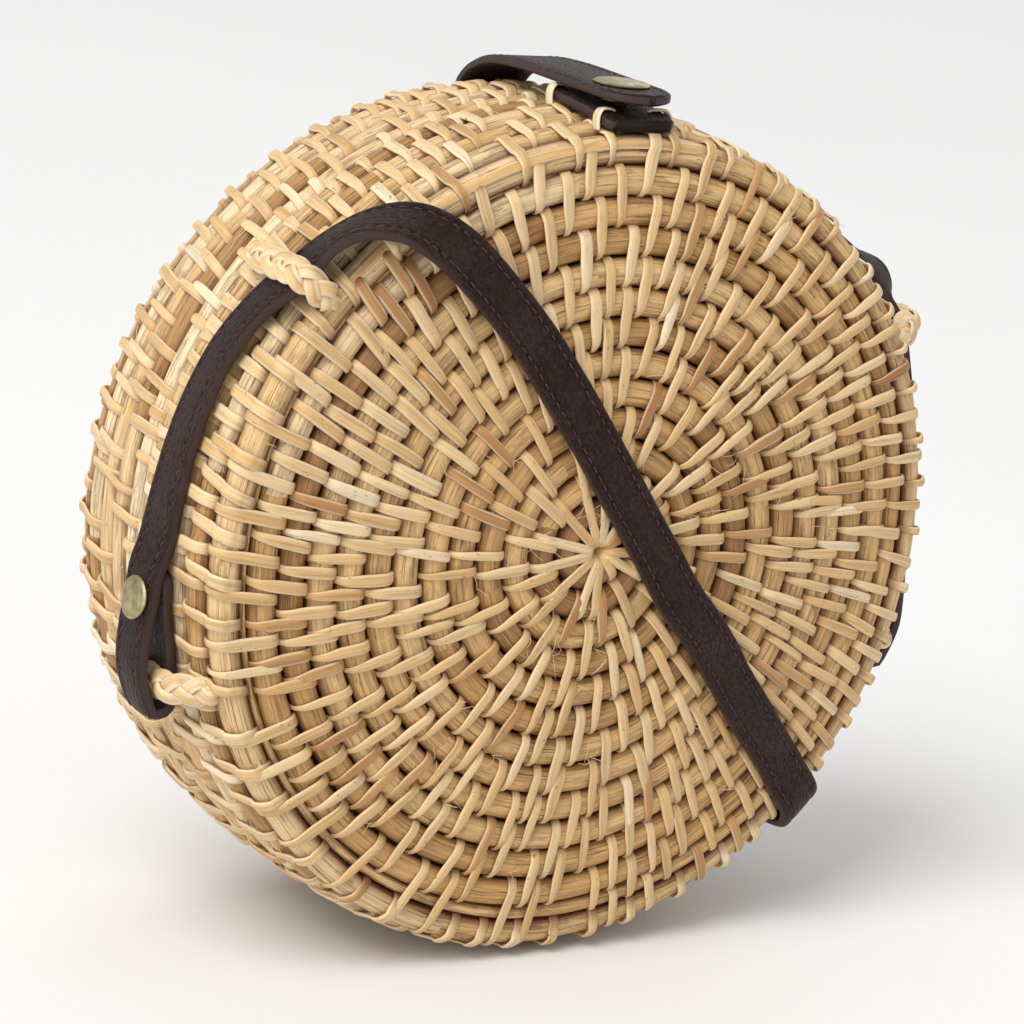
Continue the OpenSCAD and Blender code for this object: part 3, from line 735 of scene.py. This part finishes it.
# ------------------------------------------------------------------ lining
def lining(name, nodename, spin, body):
    prof = [[90.6, 1.2], [90.6, 8], [90.6, 16], [90.5, 24], [89.8, 27.6], [87.5, 28.9]]
    prof += [[r, float(dome(r)) - 7.2] for r in (84, 78, 70, 60, 48, 36, 24, 12, 0.02)]
    prof = catmull(np.array(prof), 3)
    c = np.linspace(0, 360, 145)[:-1]
    rng = np.random.default_rng(5)
    P = np.empty((len(prof), len(c), 3))
    for i, (r, h) in enumerate(prof):
        rr = r - 0.25 * (1 + np.sin(c * D2R * 23 + 0.7 * math.sin(i))) * min(1, r / 60)
        hh = h - 0.22 * (1 + np.sin(c * D2R * 9 + i * 0.35)) * min(1, r / 30) * (1 if i > 12 else 0.3)
        P[i] = np.stack([rr * np.sin(c * D2R), -hh, CZ + rr * np.cos(c * D2R)], -1)
    s = Soup()
    k, m = P.shape[:2]
    s.v.append(P.reshape(-1, 3))
    s.grain.append(P.reshape(-1, 3))
    s.tone.append(np.zeros(k * m))
    s.edge.append(np.zeros(k * m))
    i, j = np.arange(k - 1)[:, None], np.arange(m)[None, :]
    q = np.stack([i * m + j, (i + 1) * m + j, (i + 1) * m + (j + 1) % m, i * m + (j + 1) % m], -1).reshape(-1, 4)
    s.loops.append(q.reshape(-1))
    s.sizes.append(np.full(len(q), 4))
    s.n = k * m
    ob = s.build(name, M_CLOTH, "cloth", body, (nodename,), spin, False)
    return ob


lining("front_cloth", "front_lining", False, "body")
lining("back_cloth", "back_lining", True, "lid")


# ------------------------------------------------------------------- strap
def W(c, h, r, t):
    c, t = c * D2R, t * D2R
    return [r * math.sin(c), -h, CZ + r * math.cos(c), math.cos(t) * math.sin(c), -math.sin(t), math.cos(t) * math.cos(c)]


def P_(x, z, h):
    return [x, -h, CZ + z, 0, -1, 0]


def B_(x, z):
    return [x, float(dome(math.hypot(x, z))) + 1.85, CZ + z, 0, 1, 0]


def fold_turn(c, m):
    out = []
    for a in range(-60, 61, 30):
        a_ = a * D2R
        r = 105.45 + 2.95 * math.sin(a_)
        k = (c - m * 3.4 * math.cos(a_) / 105.2 * 57.3) * D2R
        out.append([r * math.sin(k), -14.5, CZ + r * math.cos(k), -m * math.cos(a_) * math.cos(k) + math.sin(a_) * math.sin(k), 0,
                    m * math.cos(a_) * math.sin(k) + math.sin(a_) * math.cos(k)])
    return out


LEFT_FOLD = [W(267.3, 14.6, 101.5, 184), W(262, 14.6, 101.5, 184), W(255, 14.5, 101.55, 182.5), W(251.8, 14.5, 101.9, 181)]
FRONT = [W(255, 14.5, 108.6, 0), W(259.5, 14.6, 106.9, 3), W(263.7, 14.7, 104.9, 4), W(267.4, 14.7, 103.8, 6), W(270.4, 14.7, 102.0, 7),
         W(272.8, 14.8, 101.5, 4.8), W(277.6, 15.5, 101.4, 3), W(283.4, 15.7, 101.5, 0), W(290, 16, 101.7, -4),
         W(296.6, 16.9, 101.9, -6.5), W(303.3, 20.8, 102.4, -7.7), W(307.3, 26.3, 103.2, -4), W(310.8, 28.4, 103.5, -6),
         W(314.7, 31.4, 104.1, -14), W(318.5, 34.1, 102.2, -2), W(322.5, 37.0, 97.3, 24), W(325.7, 39.3, 88.2, 55), W(328.9, 39.6, 74.4, 80),
         P_(-26.6, 52.1, 39.8), P_(-19.1, 43.1, 40.4), P_(-8.1, 29.2, 41.0), P_(2.8, 14.9, 41.2), P_(14.2, 0.1, 41.2), P_(21.8, -9.9, 41.1),
         P_(31.8, -20.4, 40.7), P_(44.7, -36.4, 39.7), P_(59.4, -53.1, 37.9), P_(63.5, -58, 37.3),
         W(133.0, 36.6, 93.6, 72), W(133.6, 34.5, 97.4, 45), W(134, 31, 99.5, 15), W(134.3, 25, 100.4, 7), W(134.6, 15, 101.3, 4),
         W(134.8, 6, 101.7, 1)]
BACK = [W(134.9, -0.1, 101.8, 0), W(134.9, -8, 101.6, -2), W(134.8, -16, 101.2, -4), W(134.7, -25, 100.4, -7),
        W(134.6, -31, 99.5, -15), W(134.5, -34.5, 97.4, -45), W(134.4, -36.6, 93.6, -72),
        B_(60, -58), B_(53, -48), B_(47, -36), B_(43, -22), B_(41, -8), B_(41.3, 6), B_(42.8, 20), B_(45.2, 33), B_(49.6, 45), B_(57.3, 55.8),
        W(46.0, -36.6, 93.6, -72), W(45.8, -34.5, 97.4, -45), W(45.5, -31, 99.5, -15), W(45.3, -25, 100.4, -8), W(45.1, -16, 101.3, -4),
        W(45.3, -9, 101.7, -2), W(45.9, -3.5, 102.0, -1)]
RIGHT = [W(46.6, 0.1, 102.0, 0), W(49.2, 6.0, 103.2, 8), W(51.6, 10.6, 104.9, 28), W(54.2, 14.6, 105.9, 48), W(56.4, 16.9, 105.5, 42),
         W(58.4, 18.0, 104.2, 20), W(61, 18.4, 103.0, 4), W(66, 18.2, 102.2, 5), W(73, 17.2, 101.5, 5), W(80, 16, 101.4, 4.5), W(87, 14.8, 101.6, 5),
         W(89.6, 14.7, 102.0, 7), W(92.6, 14.7, 103.8, 6), W(96.3, 14.7, 104.9, 4), W(100.5, 14.6, 106.9, 3), W(105, 14.5, 108.6, 0)]
RIGHT_FOLD = [W(108.2, 14.5, 101.9, 181), W(105, 14.5, 101.55, 182.5), W(98, 14.6, 101.5, 184), W(92.7, 14.6, 101.5, 184)]
ROUTE = LEFT_FOLD + fold_turn(251.3, 1) + FRONT + BACK + RIGHT + fold_turn(108.7, -1)[::-1] + RIGHT_FOLD

HW, HT = 5.75, 1.4
STITCH = 3.65


def band_section():
    """Outline of the strap's section, u across and v through, with edge marks and a groove at each stitch line."""
    u, v, e = [], [], []
    top = [(-5.75, .55, 1), (-5.62, .95, .6), (-5.3, 1.25, .1), (-4.8, 1.36, 0), (-4.2, 1.36, 0), (-3.9, 1.22, 0), (-3.65, 1.12, 0), (-3.4, 1.24, 0),
           (-3.0, 1.4, 0), (-1.5, 1.46, 0), (0, 1.48, 0), (1.5, 1.46, 0), (3.0, 1.4, 0), (3.4, 1.24, 0), (3.65, 1.12, 0), (3.9, 1.22, 0),
           (4.2, 1.36, 0), (4.8, 1.36, 0), (5.3, 1.25, .1), (5.62, .95, .6), (5.75, .55, 1)]
    low = [(5.75, -.7, 1), (5.6, -1.1, .7), (5.2, -1.35, .2), (2.6, -1.4, 0), (0, -1.4, 0), (-2.6, -1.4, 0), (-5.2, -1.35, .2), (-5.6, -1.1, .7), (-5.75, -.7, 1)]
    a = np.array(top + low, float)
    return a[:, :2], a[:, 2]


def route_frames():
    s = catmull(np.array(ROUTE, float), 6)
    q, t = even(s, step=1.5)
    p = q[:, :3]
    n = unit(q[:, 3:])
    d = tangents(p)
    w = unit(np.cross(d, n))
    return p, d, w, unit(np.cross(w, d)), t


def build_strap():
    p, d, w, n, s = route_frames()
    rng = np.random.default_rng(3)
    sec, edge = band_section()
    # slight waviness of the edges and thickness
    k = np.arange(0, s[-1] + 20, 9.0)
    wave = np.interp(s, k, rng.normal(0, 0.07, len(k)))
    thick = 1 + np.interp(s, k, rng.normal(0, 0.025, len(k)))
    endf = np.minimum(s, s[-1] - s)
    tip = np.sqrt(np.clip(1 - (1 - np.clip(endf / 2.6, 0, 1)) ** 2, 0.04, 1))
    tip = 0.45 + 0.55 * tip
    rings = p[:, None] + sec[None, :, :1] * w[:, None] * tip[:, None, None] * (1 + wave[:, None, None] / 5.75) + sec[None, :, 1:] * n[:, None] * thick[:, None, None]
    sp = Soup()
    sp.sweep(rings, s, sec[:, 0] + np.where(sec[:, 1] < 0, 13.0, 0.0), 0.37, 0.5, edge)
    blend = ("body", "lid", (0, -0.0085, 0.1), (0, 0.034, 0.1))
    sp.build("strap", M_LEATHER, "leather", None, ("strap_front", "strap_right", "strap_back"), blend=blend)
    th = Soup()
    pitch, ln = 2.75, 2.15
    for sgn in (-1, 1):
        at = np.arange(3.2, s[-1] - 3.2, pitch)
        for k_, a0 in enumerate(at):
            ts = a0 + np.linspace(0, ln, 5)
            c = np.stack([np.interp(ts, s, p[:, i]) for i in range(3)], 1)
            ww = unit(np.stack([np.interp(ts, s, w[:, i]) for i in range(3)], 1))
            nn = unit(np.stack([np.interp(ts, s, n[:, i]) for i in range(3)], 1))
            wv = 1 + np.interp(ts, s, wave) / 5.75
            lift = np.array([0.9, 1.24, 1.33, 1.24, 0.9])
            q = c + ww * (sgn * STITCH * wv + np.linspace(-0.10, 0.10, 5) * rng.uniform(0.5, 1.3))[:, None] + nn * lift[:, None]
            tube(th, q, nn, np.array([0.14, 0.22, 0.24, 0.22, 0.14]), np.array([0.12, 0.18, 0.2, 0.18, 0.12]), float(rng.random()), 0.5, m=7)
    th.build("strap_thread", M_THREAD, "leather", None, (), blend=blend)


build_strap()


# ------------------------------------------------------------ leather tabs
def slab(name, centre, thick, half_width, body, replaces, blend=None, stitch=None, crease=0.0, seed=0.2):
    """A leather strip. centre: points [h, r] of its middle line; half_width(h along it in mm)."""
    q, s = even(np.c_[catmull(np.array(centre, float), 6), ][:, :2] @ np.array([[1, 0, 0], [0, 1, 0]]), step=0.8)
    q = q[:, :2]
    d = unit(np.gradient(q, axis=0))
    nn = np.stack([-d[:, 1], d[:, 0]], 1)
    hw = np.array([half_width(a, b, s[-1]) for a, b in zip(s, q[:, 0])])
    lat = np.linspace(-1, 1, 25)
    prof_u, prof_v, edge = [], [], []
    T = thick / 2
    outline = [(-1, -T * .55, 1), (-1, T * .55, 1)] + [(x, None, 0) for x in lat] + [(1, T * .55, 1), (1, -T * .55, 1)] + [(x, -1, 0) for x in lat[::-4]]
    rings = []
    for (h, r), (nh, nr), b, ss in zip(q, nn, hw, s):
        ring = []
        for (x, v, e) in outline:
            if v is None:
                inset = (1 - abs(x)) * b
                y = T - 0.35 * max(0.0, 1 - inset / 0.7) ** 2
                if stitch and abs(inset - stitch) < 0.45:
                    y -= 0.26 * math.cos((inset - stitch) / 0.45 * math.pi / 2)
                xx = x * (b - 0.28)
            elif v == -1:
                y = -T + 0.3 * max(0.0, 1 - (1 - abs(x)) * b / 0.7) ** 2
                xx = x * (b - 0.28)
            else:
                y, xx = v, x * b
            ring.append((xx, -(h + y * nh), CZ + r + y * nr))
        rings.append(ring)
    rings = np.array(rings)
    sp = Soup()
    us = np.array([o[0] * 9 + (20 if o[1] == -1 else 0) for o in outline])
    sp.sweep(rings, s, us, seed, 0.5, np.array([o[2] for o in outline], float))
    sp.build(name, M_LEATHER, "leather", body, replaces, blend=blend)
    return q, nn, hw, s


def stitches_round(name, q, nn, hw, s, thick, inset, start, body, blend=None, pitch=2.75):
    """Thread along both edges of a slab and round its rounded end."""
    T = thick / 2
    left = [(a, -(b - inset)) for a, b in zip(s, hw) if a >= start and b > inset + 1.2]
    line = left + [(left[-1][0] + 0.6, 0)] + [(a, -x) for a, x in left[::-1]]
    line, t = even(np.c_[np.array(line), np.zeros(len(line))], step=0.25)
    k = np.arange(0.5, t[-1] - 2.2, pitch)
    th = Soup()
    rng = np.random.default_rng(8)
    for a0 in k:
        ts = a0 + np.linspace(0, 2.1, 5)
        a = np.interp(ts, t, line[:, 0])
        x = np.interp(ts, t, line[:, 1])
        c = np.stack([x, -np.interp(a, s, q[:, 0]), CZ + np.interp(a, s, q[:, 1])], 1)
        n = np.stack([0 * a, -np.interp(a, s, nn[:, 0]), np.interp(a, s, nn[:, 1])], 1)
        p = c + n * (T + np.array([-0.45, -0.12, -0.03, -0.12, -0.45]))[:, None]
        tube(th, p, n, np.array([0.14, 0.22, 0.24, 0.22, 0.14]), np.array([0.12, 0.18, 0.2, 0.18, 0.12]), float(rng.random()), 0.5, m=7)
    th.build(name, M_THREAD, "leather", body, (), blend=blend)


# flap: root in the back half's edge, over the top, round end past the snap
def flap_hw(a, h, total):
    if h > 26.6:
        return max(0.9, math.sqrt(max(0.0, 9.2 ** 2 - (h - 26.6) ** 2)))
    return 9.2


flap_mid = [[-32.7, 82.5], [-32.75, 88], [-32.7, 92.4], [-32.4, 94.6], [-31.4, 97.4], [-29.2, 99.9], [-26.2, 101.9], [-21.6, 103.8], [-15, 105.03], [-6, 105.55],
            [2, 105.62], [15, 105.42], [27, 105.26], [35.75, 105.1]]
FB = ("lid", "flap", (0, 0.0335, 0.1925), (0, 0.0296, 0.2010))
fq = slab("clasp_leather", flap_mid, 2.5, flap_hw, None, ("clasp_flap", "flap_root"), blend=FB, stitch=2.1, seed=0.61)
stitches_round("clasp_thread", *fq, 2.5, 2.1, 19.0, None, blend=FB)


def tab_hw(a, h, total):
    e = min(total - a, 99)
    return 9.1 - 1.3 * max(0.0, 1 - e / 1.3) ** 2 - 0.8 * max(0.0, 1 - a / 1.5) ** 2


tab_mid = [[5.2, 101.75], [12, 101.5], [18, 101.05], [23, 100.65], [28, 99.95], [30.3, 99.55], [33.0, 98.85]]
tq = slab("tab_leather", tab_mid, 2.9, tab_hw, "body", ("base_tab",), seed=0.83)

# --------------------------------------------------------------- cane ties
ties = Soup()
rng = np.random.default_rng(41)
for sgn in (-1, 1):
    for h, top in ((8.6, 103.4), (28.6, 101.5)):
        lean = 1.0
        pts = np.array([[sgn * 4.6, -(h - 1.6), CZ + top - 0.9], [sgn * 5.4, -(h - 1.2), CZ + top + 0.15], [sgn * 7.4, -(h - .5), CZ + top + 0.42], [sgn * 8.9, -h, CZ + top + 0.25],
                        [sgn * 9.75, -(h + .3), CZ + top - 0.9], [sgn * 10.0, -(h + .6), CZ + top - 2.4], [sgn * 9.9, -(h + .9), CZ + top - 4.2]])
        p = catmull(pts, 4)
        d = tangents(p)
        out = unit(np.stack([np.linspace(0, sgn * 1.0, len(p)), np.zeros(len(p)), np.linspace(1, 0.05, len(p))], 1))
        strip(ties, p, out, 2.5, 0.75, float(rng.random()), 0.97)
ties.build("tab_canes", M_CANE, "cane", "body", ("tab_ties",))

knots = Soup()
for x in (-5, 5):
    a = np.linspace(0, 2 * math.pi, 15)[:-1]
    pts = np.array([[x - 2.2, 34.6, CZ + 84.6], [x - 1.6, 36.2, CZ + 85.2], [x, 36.75, CZ + 86], [x + 1.6, 36.2, CZ + 86.8], [x + 2.2, 34.6, CZ + 87.4]])
    p = catmull(pts, 4)
    strip(knots, p, np.tile([0, 1.0, 0], (len(p), 1)), 2.2, 0.8, 0.3 + x * 0.01, 0.8)
    pin = catmull(np.array([[x, 30.3, CZ + 86], [x, 33, CZ + 86], [x, 36.1, CZ + 86]]), 3)
    tube(knots, pin, np.tile([0, 0, 1.0], (len(pin), 1)), 0.8, 0.8, 0.7, 0.7, m=10)
knots.build("flap_canes", M_CANE, "cane", "lid", ("flap_ties",))

hinge = Soup()
for k in (-1, 1):
    for j in (-1, 0, 1):
        c = 180 + 9 * k + 1.6 * j
        rr = 3.05 + 0.4
        a1 = np.linspace(-90, 90, 11) * D2R
        pts = [(3.3 + rr * math.cos(a), rr * math.sin(a)) for a in a1] + [(x, rr) for x in (1.6, 0, -1.6)]
        pts += [(-3.3 - rr * math.cos(a), rr * math.sin(a)) for a in a1[::-1]] + [(x, -rr) for x in (-1.6, 0, 1.6)]
        pts = np.array(pts)
        cen = turn(c, 1.0, 0.0)
        p = np.array([[0, -h, CZ] for h, r in pts]) + np.outer(94.9 + pts[:, 1], cen)
        nrm = np.array([[h - np.clip(h, -3.3, 3.3), r] for h, r in pts])
        up = unit(np.stack([nrm[:, 1] * cen[0], -nrm[:, 0], nrm[:, 1] * cen[2]], 1))
        strip(hinge, p, up, 2.3, 0.75, float(rng.random()), tone_of(rng), loop=True)
hinge.build("hinge_canes", M_CANE, "cane", None, ("hinge_ties",), ground=True, blend=("body", "lid", (0, -0.0012, 0.004), (0, 0.0012, 0.004)))


# ------------------------------------------------------------------ braids
ARCH = {
    "high": [[5, 100.2], [7.6, 102.4], [11.5, 104.4], [17, 105.2], [26, 105.5], [31.5, 106.0], [34.5, 105.3], [36.2, 101.8], [36.5, 98], [35.7, 94.6]],
    "mid": [[5, 100.2], [7.6, 102.7], [10.6, 104.8], [13, 105.15], [16, 105.15], [24.3, 104.9], [27.7, 103.5], [31.0, 100.9], [33.4, 97.9], [35.1, 94.8]],
    "low": [[5, 100.2], [6.6, 102.4], [8.6, 103.5], [14, 103.55], [20.5, 103.5], [24.4, 102.5], [28.3, 101.0], [31.7, 98.9], [34.1, 96.6], [35.3, 94.6]]}


def braid(name, nodename, c, arch, seed, cycle=16.5, amp=2.2, pull=0.9, skew=0.0):
    rng = np.random.default_rng(seed)
    A = np.array(ARCH[arch], float)
    past = A[:, 0] > 18
    A[past, 0] = 18 + (A[past, 0] - 18) * pull
    A[-4:, 1] += np.array([-1.0, -0.6, 0.2, 1.4]) * (1 - pull) * 4
    d = unit(np.gradient(A, axis=0))
    off = np.full(len(A), 1.5)
    off[-3:] = (1.2, 0.7, 0.1)
    off[:2] = (0.5, 1.1)
    mid = A + off[:, None] * np.stack([-d[:, 1], d[:, 0]], 1)
    mid[-1] += [-1.3, -0.6]
    ends = [A[0] + [-0.4, -2.0]], [mid[-1] + [-1.8, -2.4]]
    line = np.vstack([ends[0], mid, ends[1]])
    q = catmull(line, 6)
    q, s = even(np.c_[q, np.zeros(len(q))], step=0.55)
    q = q[:, :2]
    dd = unit(np.gradient(q, axis=0))
    n2 = np.stack([-dd[:, 1], dd[:, 0]], 1)
    # n2 is [h, r]
    f = s / s[-1]
    cc = (c + skew * f ** 1.5) * D2R
    base = np.stack([q[:, 1] * np.sin(cc), -q[:, 0], CZ + q[:, 1] * np.cos(cc)], 1)
    n3 = unit(np.stack([n2[:, 1] * np.sin(cc), -n2[:, 0], n2[:, 1] * np.cos(cc)], 1))
    along = tangents(base)
    # the flat side is twisted towards the front
    aim = unit(np.array([-0.50, -0.80, 0.33]))
    aim = aim - along * (along @ aim)[:, None]
    side = unit(np.cross(n3, along))
    if side[0] @ np.array([math.cos(c * D2R), 0, -math.sin(c * D2R)]) < 0:
        side = -side
    ang = np.clip(0.6 * np.arctan2((aim * side).sum(1), (aim * n3).sum(1)), -0.75, 0.75)
    ang = np.convolve(np.pad(ang, 12, mode="edge"), np.ones(25) / 25, mode="valid")[:len(q)]
    n3, side = n3 * np.cos(ang)[:, None] + side * np.sin(ang)[:, None], side * np.cos(ang)[:, None] - n3 * np.sin(ang)[:, None]
    sp = Soup()
    fade = np.clip((np.minimum(s, s[-1] - s) - 1.5) / 6.0, 0, 1)
    for i in range(3):
        ph = 2 * math.pi * (s / cycle + i / 3) + 0.16 * np.sin(s * 0.55 + 2.1 * i + seed)
        x = amp * np.sin(ph) * (0.2 + 0.8 * fade)
        y = 0.62 * np.sin(2 * ph + 0.35)
        p = base + side * x[:, None] + n3 * y[:, None]
        roll = 0.42 * np.cos(ph)
        up = unit(n3 + side * (0.55 * np.sin(ph))[:, None] * 0.9 + side * roll[:, None] * 0.2)
        w = 3.2 * (1 + 0.06 * rng.normal()) * (0.62 + 0.38 * np.clip((s[-1] - s) / 5.0, 0, 1))
        strip(sp, p, up, w, 0.85, float(rng.random()), [0.88, 0.75, 0.62][i] if seed % 2 else [0.7, 0.9, 0.8][i])
    return sp.build(name, M_CANE, "cane", "body", (nodename,))


braid("braid_upper_left", "upper_left_loop", 308, "high", 1)
braid("braid_lower_left", "lower_left_loop", 254, "low", 2, pull=0.74, skew=-1.7)
braid("braid_upper_right", "upper_right_loop", 60, "mid", 3, pull=0.74)
braid("braid_lower_right", "lower_right_loop", 106, "low", 4, pull=0.66)

# -------------------------------------------------------- carried-over CAD
for nm in ("snap_post", "snap_stud", "snap_socket", "snap_cap", "strap_rivet_caps", "strap_rivet_posts"):  # the metal keeps its shape
    ob = nodes[nm]
    ob.data.materials.clear()
    ob.data.materials.append(M_BRASS)

# --------------------------------------------------------- floor and light
me = bpy.data.meshes.new("floor")
S = 9.0
me.from_pydata([(-S, -S, -0.0002), (S, -S, -0.0002), (S, S, -0.0002), (-S, S, -0.0002)], [], [(0, 1, 2, 3)])
fm, fnt, fb = material("floor_paper")
fn = noise(fnt, node(fnt, "ShaderNodeTexCoord").outputs["Object"], 3.0, 2.0)
fr = ramp(fnt, [(0.3, 0.80), (0.7, 0.815)])
fnt.links.new(fn, fr.inputs[0])
fnt.links.new(fr.outputs[0], fb.inputs["Base Color"])
fb.inputs["Roughness"].default_value = 0.9
fb.inputs["Specular IOR Level"].default_value = 0.1
me.materials.append(fm)
floor = bpy.data.objects.new("floor", me)
bpy.context.scene.collection.objects.link(floor)

world = bpy.data.worlds.new("studio")
bpy.context.scene.world = world
world.use_nodes = True
bg = world.node_tree.nodes["Background"]
bg.inputs[0].default_value = (1.0, 1.0, 1.0, 1)
bg.inputs[1].default_value = 0.64


def area_light(name, loc, target, size, power, color=(1, 1, 1)):
    ld = bpy.data.lights.new(name, "AREA")
    ld.shape = "SQUARE"
    ld.size = size
    ld.energy = power
    ld.color = color
    ob = bpy.data.objects.new(name, ld)
    bpy.context.scene.collection.objects.link(ob)
    ob.location = loc
    ob.rotation_euler = (Vector(target) - Vector(loc)).to_track_quat("-Z", "Y").to_euler()
    return ob


KEY = np.array([-0.62, -0.27, 0.87])
area_light("key", tuple(KEY / np.linalg.norm(KEY) * 5.0), (0, 0, 0.1), 2.8, 183.0, (1.0, 0.992, 0.98))
area_light("rear", (3.0, 2.5, 2.6), (0.1, 0, 0.0), 2.6, 20.0, (1.0, 1.0, 1.0))
area_light("fill", (-3.9, -0.9, 0.7), (0, 0, 0.08), 2.4, 38.0, (1.0, 1.0, 1.0))
bpy.context.scene.view_settings.view_transform = "Standard"

# ------------------------------------------------------------------ camera
AZ, EL, DIST, FOV, ROLL = -31.81 * D2R, 18.76 * D2R, 0.9, 15.34, 8.0 * D2R
back = np.array([math.sin(AZ) * math.cos(EL), -math.cos(AZ) * math.cos(EL), math.sin(EL)])
right = np.array([math.cos(AZ), math.sin(AZ), 0.0])
upv = np.cross(back, right)
M0 = np.stack([right, upv, back])
RY = np.array([[math.cos(ROLL), 0, math.sin(ROLL)], [0, 1, 0], [-math.sin(ROLL), 0, math.cos(ROLL)]])
MB = M0 @ RY
cam = bpy.data.cameras.new("camera")
cam.sensor_width = 36.0
cam.sensor_fit = "HORIZONTAL"
cam.lens = 18.0 / math.tan(FOV * D2R / 2)
cam.clip_start = 0.05
cam.clip_end = 50
co = bpy.data.objects.new("camera", cam)
bpy.context.scene.collection.objects.link(co)
m4 = Matrix.Identity(4)
for i in range(3):
    for j in range(3):
        m4[i][j] = MB[j][i]
pos = np.array([0, 0, 0.099]) + DIST * MB[2]
for i in range(3):
    m4[i][3] = pos[i]
co.matrix_world = m4
bpy.context.scene.camera = co
